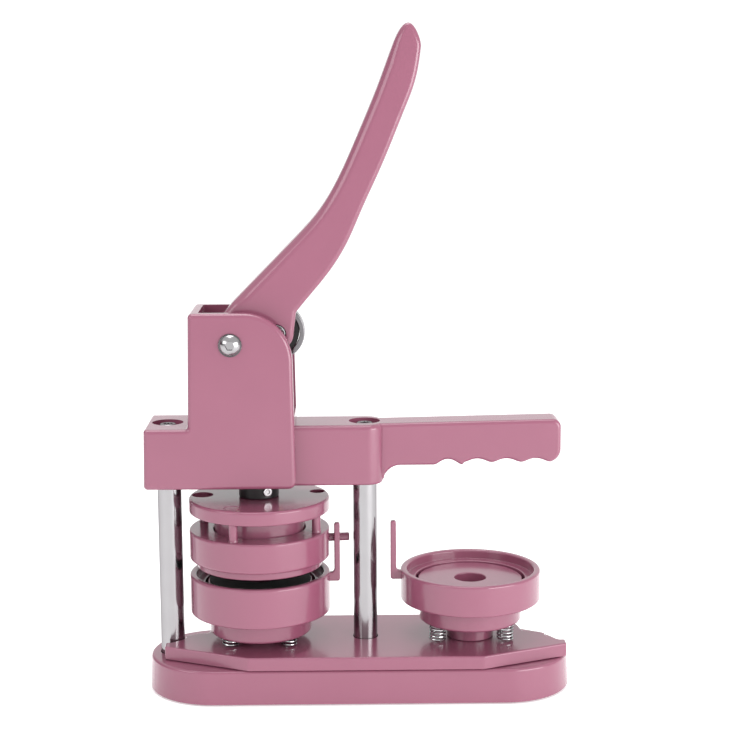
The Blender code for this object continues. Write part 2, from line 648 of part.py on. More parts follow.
def make_upper_body(pink):
    bottom, arm_top, top = PLATE_TOP + ARM_BOTTOM, PLATE_TOP + ARM_TOP, PLATE_TOP + TOWER_TOP
    body = add_object("upper_body", outline_mesh("upper_body", tower_outline(), -BLOCK_HALF_DEPTH,
                                                 BLOCK_HALF_DEPTH, upright=True), pink)
    join(body, outline_mesh("arm_beam", arm_plan(), bottom + GAP, arm_top + GAP))
    join(body, outline_mesh("finger_grip", grip_outline(), -GRIP_HALF_DEPTH, GRIP_HALF_DEPTH,
                            upright=True))
    well_left = LEFT_DIE_X - TOWER_LEFT + TOWER_END_WALL
    well_right = LEFT_DIE_X + TOWER_RIGHT - TOWER_END_WALL
    cut(body, box_mesh("tower_well", (well_left, -SLOT_HALF_DEPTH, PLATE_TOP + TOWER_FLOOR),
                       (well_right, SLOT_HALF_DEPTH, top + CUT_OVER)))
    mouth = SLOT_HALF_DEPTH - GAP / 2
    cut(body, box_mesh("tower_mouth", (well_left + OVERLAP, -mouth, PLATE_TOP + TOWER_SILL),
                       (well_right + TOWER_END_WALL + CUT_OVER, mouth, top + 2 * CUT_OVER)))
    for label, x in (("left", LEFT_POST_X), ("center", CENTER_X)):
        cut(body, cylinder_mesh(f"{label}_bore", POST_RADIUS + GAP, (x, 0, bottom - CUT_OVER),
                                (x, 0, POST_TOP + GAP), 32))
        cut(body, cylinder_mesh(f"{label}_shank_way", SCREW_RADIUS + GAP, (x, 0, POST_TOP - CUT_OVER),
                                (x, 0, arm_top + CUT_OVER), 16))
        cut(body, cylinder_mesh(f"{label}_counterbore", COUNTERBORE_RADIUS,
                                (x, 0, arm_top - COUNTERBORE_DEPTH), (x, 0, arm_top + CUT_OVER), 24))
    cut(body, cylinder_mesh("bush_bore", RAM_RADIUS + 2 * GAP + BUSH_WALL,
                            (LEFT_DIE_X, 0, bottom - CUT_OVER),
                            (LEFT_DIE_X, 0, PLATE_TOP + TOWER_FLOOR + CUT_OVER), 32))
    reach = Vector((0, BLOCK_HALF_DEPTH + CUT_OVER, 0))
    cut(body, cylinder_mesh("pivot_way", BOLT_RADIUS + GAP, PIVOT - reach, PIVOT + reach, 24))
    return body


# ---------------------------------------------------------------- lever and roller
def lever_outline():
    pivot = (PIVOT.x, PIVOT.z)
    line = smooth_line([*LEVER_BACK, *LEVER_TIP, *LEVER_FRONT], 2)
    points = [(PIVOT.x + x, PIVOT.z + z) for x, z in line]
    points += arc((ROLLER.x, ROLLER.z), FORK_RADIUS, 0, -95, 5)
    points += arc(pivot, LEVER_HUB_RADIUS, -75, -215, 10)
    return points


def make_lever(pink, steel):
    lever = add_object("lever_handle", outline_mesh(
        "lever_handle", lever_outline(), -LEVER_HALF_DEPTH, LEVER_HALF_DEPTH, upright=True), pink)
    hub = SLOT_HALF_DEPTH - GAP
    along = Vector((0, 1, 0))
    join(lever, cylinder_mesh("lever_boss", LEVER_BOSS_RADIUS, PIVOT - hub * along,
                              PIVOT + hub * along, 24))
    well = ROLLER_WIDTH / 2 + FORK_CLEARANCE
    cut(lever, cylinder_mesh("roller_well", ROLLER_RADIUS + ROLLER_WELL, ROLLER - well * along,
                             ROLLER + well * along, 32))
    cut(lever, cylinder_mesh("lever_bore", BOLT_RADIUS + GAP, PIVOT - 2 * hub * along,
                             PIVOT + 2 * hub * along, 24))
    cut(lever, cylinder_mesh("axle_way", AXLE_RADIUS + GAP, ROLLER - 2 * hub * along,
                             ROLLER + 2 * hub * along, 24))
    half = LEVER_HALF_DEPTH - AXLE_INSET
    axle = add_object("roller_axle", cylinder_mesh("roller_axle", AXLE_RADIUS, ROLLER - half * along,
                                                   ROLLER + half * along, 24), steel)
    inner = AXLE_RADIUS + GAP
    profile = tube_profile(inner + INNER_RACE_WALL, inner, -ROLLER_WIDTH / 2, ROLLER_WIDTH / 2)
    race = turned("bearing_inner_race", profile, ROLLER, steel, steps=24, closed=True, lying=True)
    return [lever, axle, race]


def make_roller(steel, rubber):
    half = ROLLER_WIDTH / 2
    bore = ROLLER_RADIUS - RACE_WALL
    race = turned("bearing_outer_race", tube_profile(ROLLER_RADIUS, bore, -half, half), ROLLER, steel,
                  steps=40, closed=True, lying=True)
    inner = AXLE_RADIUS + 2 * GAP + INNER_RACE_WALL
    profile = tube_profile(bore - GAP, inner, -half + SEAL_INSET, half - SEAL_INSET)
    seal = turned("bearing_seal", profile, ROLLER, rubber, steps=32, closed=True, lying=True)
    return [race, seal]


def make_pivot_hardware(chrome, steel):
    """The button-head bolt that the lever swings on, and its nut."""
    face = BLOCK_HALF_DEPTH + GAP
    head = face + BOLT_HEAD_HEIGHT
    floor = head - CAP_SOCKET_DEPTH
    far = -(face + NUT_HEIGHT - BOLT_END_INSET)
    dome = arc((0, face - BOLT_DOME_DROP), BOLT_HEAD_HEIGHT + BOLT_DOME_DROP, 90, 35, 5)
    crown = [(radius, height) for radius, height in dome if radius > SOCKET_RADIUS + GAP]
    profile = [(0, floor), (SOCKET_RADIUS, floor), (SOCKET_RADIUS, head - GAP), *crown,
               (BOLT_HEAD_RADIUS, face + BOLT_HEAD_RIM), (BOLT_HEAD_RADIUS, face), (BOLT_RADIUS, face),
               (BOLT_RADIUS, far), (0, far)]
    turned("pivot_bolt", profile, PIVOT, chrome, steps=28, lying=True)
    near_end = PIVOT + Vector((0, face, 0))
    far_end = near_end + Vector((0, NUT_HEIGHT, 0))
    over = Vector((0, CUT_OVER, 0))
    nut = add_object("pivot_nut", cylinder_mesh("pivot_nut", NUT_RADIUS, near_end, far_end, 6), steel)
    cut(nut, cylinder_mesh("nut_bore", BOLT_RADIUS + GAP, near_end - over, far_end + over, 24))


# ---------------------------------------------------------------- ram and upper die
def make_ram(pink, black, chrome, steel):
    """Everything that slides straight down on the die's axis."""
    place = (LEFT_DIE_X, 0, PLATE_TOP)
    tap = SCREW_RADIUS + GAP
    shaft_low = DISC_TOP + GAP
    shaft_top = CAP_LOW - GAP
    tap_top = shaft_low + STACK_TAP_DEPTH
    shaft = turned("ram_shaft", [(0, shaft_top), (RAM_RADIUS, shaft_top), (RAM_RADIUS, shaft_low),
                                 (tap, shaft_low), (tap, tap_top), (0, tap_top)],
                   place, black, steps=32)
    shoulder = CAP_LOW + CAP_FLANGE
    cap = turned("ram_cap", [(0, CAP_TOP), (BUTTON_RADIUS - BUTTON_EDGE, CAP_TOP),
                             (BUTTON_RADIUS, CAP_TOP - BUTTON_EDGE), (BUTTON_RADIUS, shoulder),
                             (CAP_RADIUS, shoulder), (CAP_RADIUS, CAP_LOW), (0, CAP_LOW)],
                 place, steel, steps=32)
    disc = turned("press_disc", [(CUP_RADIUS - CUP_EDGE, DISC_TOP), (CUP_RADIUS, DISC_TOP - CUP_EDGE),
                                 (CUP_RADIUS, DISC_LOW), (tap, DISC_LOW), (tap, DISC_TOP)],
                  place, pink, steps=40, closed=True)
    for number, (inset, angle, radius) in enumerate(DISC_HOLES, 1):
        x, y = polar(CUP_RADIUS - inset, angle)
        x += LEFT_DIE_X
        cut(disc, cylinder_mesh(f"disc_hole_{number}", radius, (x, y, PLATE_TOP + DISC_LOW - CUT_OVER),
                                (x, y, PLATE_TOP + DISC_TOP + CUT_OVER), 20))
    top = DISC_LOW - GAP
    head_way = SCREW_HEAD_RADIUS + GAP
    seat = INNER_BOTTOM + SCREW_HEAD_HEIGHT + STACK_SEAT
    inner = turned("inner_die", [(INNER_RADIUS, top), (INNER_RADIUS, INNER_PAD_TOP),
                                 (INNER_PAD_RADIUS, INNER_PAD_TOP), (INNER_PAD_RADIUS, INNER_BOTTOM),
                                 (head_way, INNER_BOTTOM), (head_way, seat), (tap, seat), (tap, top)],
                   place, pink, steps=40, closed=True)
    screw = foot_screw("stack_screw", LEFT_DIE_X, PLATE_TOP + seat - GAP,
                       PLATE_TOP + tap_top - TIP_ROOM, steel)
    out = Vector((*polar(1, GRUB_ANGLE), 0))
    root = Vector((LEFT_DIE_X, 0, PLATE_TOP + shaft_low + GRUB_RISE)) + (RAM_RADIUS + GAP) * out
    grub = add_object("ram_set_screw", cylinder_mesh("ram_set_screw", GRUB_RADIUS, root,
                                                     root + GRUB_PROUD * out, 16), chrome)
    return [shaft, cap, disc, inner, screw, grub]


def make_bush_and_return_spring(brass, steel):
    bore = RAM_RADIUS + GAP
    low = ARM_BOTTOM + GAP
    high = TOWER_FLOOR - GAP
    turned("ram_bush", tube_profile(bore + BUSH_WALL, bore, low, high), (LEFT_DIE_X, 0, PLATE_TOP),
           brass, steps=32, closed=True)
    coil("ram_return_spring", (LEFT_DIE_X, 0), PLATE_TOP + high + GAP, PLATE_TOP + CAP_LOW - GAP,
         bore + RETURN_CLEARANCE, RETURN_WIRE, RETURN_TURNS, steel, per_turn=12)


def make_upper_die(pink, chrome):
    """The ring that the pegs turn, its pillars and the crimp ring pressed into it."""
    place = (LEFT_DIE_X, 0, PLATE_TOP)
    seat_top = RING_LOW + CRIMP_SEAT
    lip = INNER_PAD_TOP + LIP_ROOM
    seat_bore = CRIMP_RADIUS + GAP
    ring = turned("upper_die_ring",
                  [(CUP_RADIUS - CUP_EDGE, RING_TOP), (CUP_RADIUS, RING_TOP - CUP_EDGE),
                   (CUP_RADIUS, RING_LOW + CUP_EDGE), (CUP_RADIUS - CUP_EDGE, RING_LOW),
                   (seat_bore, RING_LOW), (seat_bore, seat_top), (RING_BORE, seat_top),
                   (RING_BORE, lip), (RING_LIP_BORE, lip), (RING_LIP_BORE, RING_TOP)],
                  place, pink, steps=40, closed=True)
    pillar_top = PLATE_TOP + DISC_LOW - GAP
    for number, angle in enumerate(PILLAR_ANGLES, 1):
        x, y = polar(PILLAR_CIRCLE, angle)
        x += LEFT_DIE_X
        join(ring, cylinder_mesh(f"pillar_{number}", PILLAR_RADIUS,
                                 (x, y, PLATE_TOP + RING_TOP - OVERLAP), (x, y, pillar_top), 12))
    out = Vector((*polar(1, PEG_ANGLE), 0))
    root = Vector((LEFT_DIE_X, 0, PLATE_TOP + RING_TOP - PEG_DROP))
    join(ring, cylinder_mesh("index_peg", PEG_RADIUS, root + (CUP_RADIUS - OVERLAP) * out,
                             root + (DIE_REACH - PEG_TIP) * out, 12))
    crimp = turned("crimp_ring", tube_profile(CRIMP_RADIUS, CRIMP_BORE, RING_LOW - CRIMP_PROUD,
                                              seat_top - GAP), place, chrome, steps=40, closed=True)
    return [ring, crimp]


# ---------------------------------------------------------------- turntable and lower dies
def plate_side():
    """The right half of the turntable's outline, front to back."""
    lobe = (LEFT_POST_REACH - LOBE_SET_BACK, -LOBE_DROP)
    corner = PLATE_HALF_LENGTH - FRONT_BEVEL
    points = [(corner, -PLATE_HALF_WIDTH), (PLATE_HALF_LENGTH, -TOOTH_FRONT),
              (PLATE_HALF_LENGTH, -TOOTH_BACK), (LEFT_POST_REACH, -TOOTH_BACK)]
    points += arc((LEFT_POST_REACH, 0), NEST_RADIUS, 240, 168, 5)
    points += arc(lobe, LOBE_RADIUS, 42, 90, 5)
    neck = (lobe[0] - LOBE_NECK, LOBE_RADIUS - LOBE_DROP)
    points += [neck, (neck[0] - NECK_SLOPE, neck[1] + NECK_RISE), (corner, PLATE_HALF_WIDTH)]
    return points


def make_turntable(pink, nylon, steel):
    side = plate_side()
    outline = [(CENTER_X + x, y) for x, y in side] + [(CENTER_X - x, y) for x, y in reversed(side)]
    plate = add_object("turntable_plate", outline_mesh("turntable_plate", outline, PLATE_BOTTOM, PLATE_TOP),
                       pink)
    under, over = PLATE_BOTTOM - CUT_OVER, PLATE_TOP + CUT_OVER
    cut(plate, cylinder_mesh("plate_bore", POST_RADIUS + GAP, (CENTER_X, 0, under),
                             (CENTER_X, 0, over), 32))
    screws = []
    head_top = PLATE_BOTTOM + SCREW_HEAD_HEIGHT + GAP
    tip = PLATE_TOP + PLATEN_TAP_DEPTH - TIP_ROOM / 2
    for label, x in (("left", LEFT_DIE_X), ("right", RIGHT_DIE_X)):
        cut(plate, cylinder_mesh(f"{label}_hub_way", SCREW_RADIUS + GAP, (x, 0, under),
                                 (x, 0, over), 16))
        cut(plate, cylinder_mesh(f"{label}_hub_head", SCREW_HEAD_RADIUS + GAP, (x, 0, under),
                                 (x, 0, head_top + GAP), 24))
        screws.append(foot_screw(f"{label}_platen_screw", x, head_top, tip, steel))
    washer = tube_profile(WASHER_RADIUS, POST_RADIUS + 2 * GAP, PLATE_BOTTOM - WASHER_THICKNESS - GAP,
                          PLATE_BOTTOM - GAP)
    turned("turntable_washer", washer, (CENTER_X, 0, 0), nylon, steps=32, closed=True)
    return [plate, *screws]


def make_platen(label, x, pink):
    """The fixed disc that holds the badge's shell, on its stem."""
    tap = SCREW_RADIUS + GAP
    under = PLATEN_TOP - PLATEN_THICKNESS
    eye = PLATEN_TOP - PLATEN_EYE_DEPTH
    profile = [(0, eye), (PLATEN_EYE_RADIUS, eye), (PLATEN_EYE_RADIUS, PLATEN_TOP),
               (PLATEN_RADIUS - PLATEN_EDGE, PLATEN_TOP), (PLATEN_RADIUS, PLATEN_TOP - PLATEN_EDGE),
               (PLATEN_RADIUS, under), (STEM_RADIUS, under), (STEM_RADIUS, GAP), (tap, GAP),
               (tap, PLATEN_TAP_DEPTH), (0, PLATEN_TAP_DEPTH)]
    return turned(f"{label}_platen", profile, (x, 0, PLATE_TOP), pink, steps=40)


def make_cup(label, x, rim, band, flange, inward, pink):
    """A sprung cup with its upright rod; inward is the way to the centre post."""
    step = rim - band
    ledge = rim - RECESS_DEPTH
    floor = PLATEN_TOP - PLATEN_THICKNESS - GAP
    stem = STEM_RADIUS + STEM_CLEARANCE
    profile = [(CUP_RADIUS - CUP_EDGE, rim), (CUP_RADIUS, rim - CUP_EDGE), (CUP_RADIUS, step + CUP_EDGE),
               (CUP_RADIUS - CUP_EDGE, step), (FLANGE_RADIUS, step),
               (FLANGE_RADIUS, flange + CUP_EDGE), (FLANGE_RADIUS - CUP_EDGE, flange),
               (stem, flange), (stem, floor), (LEDGE_BORE, floor), (LEDGE_BORE, ledge),
               (CUP_BORE, ledge), (CUP_BORE, rim)]
    cup = turned(f"{label}_cup", profile, (x, 0, PLATE_TOP), pink, steps=40, closed=True)
    rod_x = CENTER_X - inward * ROD_REACH
    edge_x = x + inward * (CUP_BORE + CUP_WALL / 2)
    low = PLATE_TOP + rim - ROD_FOOT_DROP
    foot_x = sorted((rod_x + inward * ROD_WIDTH / 2, edge_x))
    join(cup, box_mesh(f"{label}_rod_foot", (foot_x[0], -ROD_DEPTH / 2, low),
                       (foot_x[1], ROD_DEPTH / 2, low + ROD_FOOT_HEIGHT)))
    half_width, half_depth = ROD_WIDTH / 2 - GAP / 3, ROD_DEPTH / 2 - GAP / 3
    join(cup, box_mesh(f"{label}_rod", (rod_x - half_width, -half_depth, low + GAP),
                       (rod_x + half_width, half_depth, PLATE_TOP + rim + ROD_RISE)))
    return cup


def make_left_pockets(cup):
    """Pockets that take the springs' upper halves in the deeper cup."""
    radius = SPRING_RADIUS + SPRING_WIRE + 2 * GAP
    for number, angle in enumerate(LEFT_SPRING_ANGLES, 1):
        x, y = polar(LEFT_SPRING_CIRCLE, angle)
        x += LEFT_DIE_X
        cut(cup, cylinder_mesh(f"spring_pocket_{number}", radius,
                               (x, y, PLATE_TOP + LEFT_FLANGE - CUT_OVER),
                               (x, y, PLATE_TOP + LEFT_FLANGE + POCKET_DEPTH), 20))


def make_springs(label, x, circle, angles, top, steel):
    springs = []
    for number, angle in enumerate(angles, 1):
        dx, dy = polar(circle, angle)
        springs.append(coil(f"{label}_cup_spring_{number}", (x + dx, dy), PLATE_TOP + GAP,
                            PLATE_TOP + top - GAP, SPRING_RADIUS, SPRING_WIRE, SPRING_TURNS, steel))
    return springs


# ---------------------------------------------------------------- assembly
clear_scene()
PARTS = make_collection("button_badge_maker")
CUTTERS = make_collection("cutters")

pink = make_material("pink plastic", (0.55, 0.22, 0.31), 0.28)
chrome = make_material("chrome", (0.80, 0.80, 0.82), 0.08, 1.0)
steel = make_material("steel", (0.52, 0.52, 0.54), 0.28, 1.0)
black_steel = make_material("blackened steel", (0.03, 0.03, 0.035), 0.35, 0.8)
brass = make_material("bronze", (0.60, 0.42, 0.20), 0.35, 1.0)
rubber = make_material("black rubber", (0.02, 0.02, 0.02), 0.75)
nylon = make_material("white nylon", (0.80, 0.79, 0.75), 0.45)
grey = make_material("grey plastic", (0.12, 0.12, 0.13), 0.55)

make_base(pink)
make_base_cover(grey, rubber)
make_posts(chrome, steel)
make_upper_body(pink)
make_pivot_hardware(chrome, steel)
make_bush_and_return_spring(brass, steel)

lever_parts = make_lever(pink, steel)
roller_parts = make_roller(steel, rubber)
ram_parts = make_ram(pink, black_steel, chrome, steel)
die_parts = make_upper_die(pink, chrome)

turntable_parts = make_turntable(pink, nylon, steel)
turntable_parts += [make_platen("left", LEFT_DIE_X, pink), make_platen("right", RIGHT_DIE_X, pink)]
turntable_parts += make_springs("left", LEFT_DIE_X, LEFT_SPRING_CIRCLE, LEFT_SPRING_ANGLES,
                                LEFT_FLANGE + POCKET_DEPTH, steel)
turntable_parts += make_springs("right", RIGHT_DIE_X, RIGHT_SPRING_CIRCLE, RIGHT_SPRING_ANGLES,
                                RIGHT_FLANGE, steel)
left_cup = make_cup("left", LEFT_DIE_X, LEFT_RIM, LEFT_BAND, LEFT_FLANGE, 1, pink)
make_left_pockets(left_cup)
right_cup = make_cup("right", RIGHT_DIE_X, RIGHT_RIM, RIGHT_BAND, RIGHT_FLANGE, -1, pink)

mount_on(joint_empty("lever_axis", PIVOT), lever_parts)
mount_on(joint_empty("roller_axis", ROLLER), roller_parts)
mount_on(joint_empty("ram_axis", (LEFT_DIE_X, 0, PLATE_TOP + DISC_TOP)), ram_parts + die_parts)
mount_on(joint_empty("turntable_axis", (CENTER_X, 0, PLATE_TOP)), turntable_parts)
mount_on(joint_empty("left_cup_axis", (LEFT_DIE_X, 0, PLATE_TOP)), [left_cup])
mount_on(joint_empty("right_cup_axis", (RIGHT_DIE_X, 0, PLATE_TOP)), [right_cup])
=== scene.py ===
# %% [markdown]
# # A hand press for button badges
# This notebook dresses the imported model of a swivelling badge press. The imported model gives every
# body, joint and place. The cells below rebuild what is seen at a finer grain: rounded mouldings,
# turned metal, wound springs, and a material for each finish. Each made piece then rides on the
# body that it belongs to, so it moves when a joint moves.

# %% Load the frame
import math

import bmesh
import bpy
from mathutils import Matrix, Vector


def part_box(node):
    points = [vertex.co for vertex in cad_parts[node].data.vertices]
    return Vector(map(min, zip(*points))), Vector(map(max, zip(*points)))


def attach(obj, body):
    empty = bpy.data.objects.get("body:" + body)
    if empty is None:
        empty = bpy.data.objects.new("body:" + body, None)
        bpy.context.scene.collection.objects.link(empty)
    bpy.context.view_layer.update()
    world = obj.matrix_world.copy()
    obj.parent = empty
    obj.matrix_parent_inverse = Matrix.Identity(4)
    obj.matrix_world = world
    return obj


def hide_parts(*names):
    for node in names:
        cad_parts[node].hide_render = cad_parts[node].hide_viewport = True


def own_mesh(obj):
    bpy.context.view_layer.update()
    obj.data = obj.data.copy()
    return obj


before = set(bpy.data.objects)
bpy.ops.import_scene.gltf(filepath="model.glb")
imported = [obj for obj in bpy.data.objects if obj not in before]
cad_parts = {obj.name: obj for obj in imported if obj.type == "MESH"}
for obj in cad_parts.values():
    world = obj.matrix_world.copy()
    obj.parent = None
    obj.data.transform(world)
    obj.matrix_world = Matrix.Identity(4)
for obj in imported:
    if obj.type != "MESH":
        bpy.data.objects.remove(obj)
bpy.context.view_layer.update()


# %% [markdown]
# ## Places
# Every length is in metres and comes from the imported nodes' boxes where a box can tell it. The
# left post, the centre post and the two dies lie on one line, so four X values place almost
# everything. Most of the other heights are given above the turntable's top, called DECK.

# %% Places read from the frame
def middle(node):
    low, high = (Vector(corner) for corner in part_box(node))
    return (low + high) / 2


def span(node):
    low, high = (Vector(corner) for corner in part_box(node))
    return high - low


def bottom_of(node):
    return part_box(node)[0][2]


def top_of(node):
    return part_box(node)[1][2]


LEFT_POST = middle("left_post").x
CENTER_POST = middle("center_post").x
LEFT_DIE = middle("left_platen").x
RIGHT_DIE = middle("right_platen").x
POST = span("center_post").x / 2
DECK = top_of("turntable_plate")
BADGE = span("right_platen").x / 2
DIE = span("press_disc").x / 2
PIVOT = middle("pivot_bolt")
PIVOT.y = 0
ROLLER = middle("bearing_outer_race")
GAP = 0.0003
LYING = (0, 1, 0)
print(f"deck {DECK:.4f}  posts {LEFT_POST:.4f} {CENTER_POST:.4f}  dies {LEFT_DIE:.4f} {RIGHT_DIE:.4f}")
print("pivot", tuple(round(v, 5) for v in PIVOT), "roller", tuple(round(v, 5) for v in ROLLER))


# %% [markdown]
# ## Camera
# A long lens a little above the table keeps the upright lines of a tall press nearly parallel.
# The camera's three turns are given as angles, and its axes are worked out from them, so that the
# view can be read and changed without touching a matrix.

# %% Camera
CAMERA_PLACE = Vector((-0.00502, -0.90221, 0.32967))
CAMERA_PITCH, CAMERA_YAW, CAMERA_ROLL = (math.radians(a) for a in (9.382, 0.572, -0.317))
CAMERA_LENS = 82.70
SENSOR = 36.0


def make_camera():
    data = bpy.data.cameras.new("camera")
    data.lens = CAMERA_LENS
    data.sensor_width = SENSOR
    camera = bpy.data.objects.new("camera", data)
    bpy.context.scene.collection.objects.link(camera)
    ahead = Vector((math.sin(CAMERA_YAW) * math.cos(CAMERA_PITCH),
                    math.cos(CAMERA_YAW) * math.cos(CAMERA_PITCH), -math.sin(CAMERA_PITCH)))
    right = Vector((math.cos(CAMERA_YAW), -math.sin(CAMERA_YAW), 0))
    up = right.cross(ahead)
    side = right * math.cos(CAMERA_ROLL) + up * math.sin(CAMERA_ROLL)
    rise = up * math.cos(CAMERA_ROLL) - right * math.sin(CAMERA_ROLL)
    turn = Matrix((side, rise, -ahead)).transposed().to_4x4()
    camera.matrix_world = Matrix.Translation(CAMERA_PLACE) @ turn
    bpy.context.scene.camera = camera
    return camera


make_camera()
print("lens", CAMERA_LENS, "mm")


# %% [markdown]
# ## Node trees as sums
# Materials and Geometry Nodes both need arithmetic. Term wraps a socket so that an ordinary
# Python expression adds the Math nodes, and Tree.node makes any other node: first its settings,
# then the values or links of its inputs.

# %% Tree and Term
class Term:
    """A socket that takes part in Python arithmetic."""

    def __init__(self, tree, socket):
        self.tree = tree
        self.socket = socket

    def math(self, operation, first, second=0.0):
        return self.tree.node("ShaderNodeMath", {"operation": operation}, {0: first, 1: second})

    def __add__(self, other):
        return self.math("ADD", self, other)

    __radd__ = __add__

    def __sub__(self, other):
        return self.math("SUBTRACT", self, other)

    def __rsub__(self, other):
        return self.math("SUBTRACT", other, self)

    def __mul__(self, other):
        return self.math("MULTIPLY", self, other)

    __rmul__ = __mul__

    def __truediv__(self, other):
        return self.math("DIVIDE", self, other)

    def __rtruediv__(self, other):
        return self.math("DIVIDE", other, self)

    def least(self, other):
        return self.math("MINIMUM", self, other)

    def most(self, other):
        return self.math("MAXIMUM", self, other)

    def clamped(self):
        return self.least(1.0).most(0.0)


class Tree:
    """A node tree and one way to add a node to it."""

    def __init__(self, tree):
        self.tree = tree

    def node(self, kind, settings=None, inputs=None, output=0):
        node = self.tree.nodes.new(kind)
        for name, value in (settings or {}).items():
            if name == "stops":
                ramp = node.color_ramp.elements
                while len(ramp) < len(value):
                    ramp.new(1.0)
                for element, (position, shade) in zip(ramp, value):
                    element.position = position
                    element.color = (*shade, 1)
            else:
                setattr(node, name, value)
        for name, value in (inputs or {}).items():
            socket = node.inputs[name]
            if isinstance(value, Term):
                self.tree.links.new(value.socket, socket)
            else:
                socket.default_value = value
        return Term(self, node.outputs[output])


# %% [markdown]
# ## Finishes
# The moulded parts are one glossy dusty-pink plastic. Moulded plastic isn't one flat colour: the
# pigment drifts a little over a few centimetres, the gloss varies where the melt met the mould,
# and the skin has a faint orange-peel ripple. Two noises at those scales drive the colour, the
# roughness and a shallow bump. The base and the dies take the same finish, so that light shows
# them to be one material.

# %% Material helpers
FINISHES = {}


def blended(tree, amount, first, second):
    return tree.node("ShaderNodeMix", {"data_type": "RGBA"},
                     {0: amount, 6: (*first, 1), 7: (*second, 1)}, output=2)


def noise(tree, scale, detail=2.0, stretch=(1, 1, 1)):
    where = tree.node("ShaderNodeTexCoord", output="Object")
    placed = tree.node("ShaderNodeMapping", inputs={"Vector": where, "Scale": stretch})
    return tree.node("ShaderNodeTexNoise", inputs={"Vector": placed, "Scale": scale, "Detail": detail})


def finish_of(name, colours, roughness, metallic, cloud, grain, strength, depth, constants=None,
              stretch=(1, 1, 1)):
    """A material whose colour and gloss drift with cloud and whose bump follows grain."""
    material = bpy.data.materials.new(f"{name}_finish")
    material.use_nodes = True
    tree = Tree(material.node_tree)
    shader = material.node_tree.nodes["Principled BSDF"]
    drift = noise(tree, cloud)
    ripple = noise(tree, grain, 3.0, stretch)
    colour = blended(tree, drift, *colours)
    rough = roughness[0] + drift * (roughness[1] - roughness[0])
    bump = tree.node("ShaderNodeBump", inputs={"Strength": strength, "Distance": depth,
                                               "Height": ripple})
    links = material.node_tree.links
    links.new(colour.socket, shader.inputs["Base Color"])
    links.new(rough.socket, shader.inputs["Roughness"])
    links.new(bump.socket, shader.inputs["Normal"])
    shader.inputs["Metallic"].default_value = metallic
    for socket, value in (constants or {}).items():
        shader.inputs[socket].default_value = value
    material.diffuse_color = (*colours[0], 1)
    FINISHES[name] = material
    return material


# %% The nine finishes
finish_of("pink_plastic", ((0.246, 0.074, 0.124), (0.266, 0.083, 0.136)), (0.18, 0.25), 0.0,
          38.0, 900.0, 0.10, 0.00010, {"IOR": 1.5, "Coat Weight": 0.45, "Coat Roughness": 0.10})
finish_of("chrome", ((0.34, 0.33, 0.34), (0.40, 0.39, 0.40)), (0.12, 0.20), 1.0,
          60.0, 1600.0, 0.05, 0.00002, {"Specular Tint": (0.55, 0.53, 0.54, 1)}, stretch=(1, 1, 0.02))
finish_of("bright_steel", ((0.50, 0.50, 0.51), (0.62, 0.62, 0.63)), (0.14, 0.24), 1.0,
          160.0, 1200.0, 0.10, 0.00003, {"Specular Tint": (0.45, 0.44, 0.45, 1)})
finish_of("black_steel", ((0.020, 0.020, 0.022), (0.045, 0.042, 0.042)), (0.28, 0.42), 0.6,
          120.0, 900.0, 0.20, 0.00005)
finish_of("dark_steel", ((0.16, 0.15, 0.16), (0.24, 0.23, 0.24)), (0.12, 0.22), 1.0,
          120.0, 900.0, 0.15, 0.00004)
finish_of("bronze", ((0.55, 0.37, 0.17), (0.62, 0.44, 0.22)), (0.30, 0.42), 1.0,
          120.0, 900.0, 0.15, 0.00004)
finish_of("black_rubber", ((0.012, 0.012, 0.012), (0.028, 0.028, 0.028)), (0.55, 0.72), 0.0,
          90.0, 1500.0, 0.30, 0.00008, {"Specular IOR Level": 0.25})
finish_of("white_nylon", ((0.72, 0.71, 0.67), (0.80, 0.79, 0.75)), (0.38, 0.48), 0.0,
          90.0, 900.0, 0.12, 0.00005)
finish_of("grey_plastic", ((0.10, 0.10, 0.11), (0.14, 0.14, 0.15)), (0.45, 0.58), 0.0,
          70.0, 1400.0, 0.35, 0.00010)
print(len(FINISHES), "finishes")


# %% [markdown]
# ## Shapes
# Three kinds of shape make nearly all of a moulded press. A turned piece is a profile swept round
# an axis. A slab is a flat outline with thickness, and its rims are lofted through a quarter round
# instead of bevelled afterwards, so the round can be wide on one side of a piece and narrow on the
# other. The rest comes from joining and cutting those with Booleans.

# %% Lines and corners
def arc(centre, radius, first, last, count):
    """Points along an arc, angles in degrees."""
    points = []
    for i in range(count + 1):
        angle = math.radians(first + (last - first) * i / count)
        points.append((centre[0] + radius * math.cos(angle), centre[1] + radius * math.sin(angle)))
    return points


def polar(circle, angle):
    return circle * math.cos(math.radians(angle)), circle * math.sin(math.radians(angle))


def rounded(corners, closed=True, steps=6):
    """A line through (a, b, radius) corners, each turned in an arc of its radius."""
    count = len(corners)
    line = []
    for i, (a, b, radius) in enumerate(corners):
        here = Vector((a, b))
        if radius <= 0 or (not closed and i in (0, count - 1)):
            line.append((a, b))
            continue
        back = Vector(corners[i - 1][:2]) - here
        ahead = Vector(corners[(i + 1) % count][:2]) - here
        half = back.angle(ahead) / 2
        run = min(radius / math.tan(half), 0.49 * back.length, 0.49 * ahead.length)
        radius = run * math.tan(half)
        centre = here + (back.normalized() + ahead.normalized()).normalized() * radius / math.sin(half)
        start = here + back.normalized() * run - centre
        end = here + ahead.normalized() * run - centre
        first = math.atan2(start.y, start.x)
        turn = math.remainder(math.atan2(end.y, end.x) - first, math.tau)
        line += [(centre.x + radius * math.cos(first + turn * k / steps),
                  centre.y + radius * math.sin(first + turn * k / steps)) for k in range(steps + 1)]
    return line


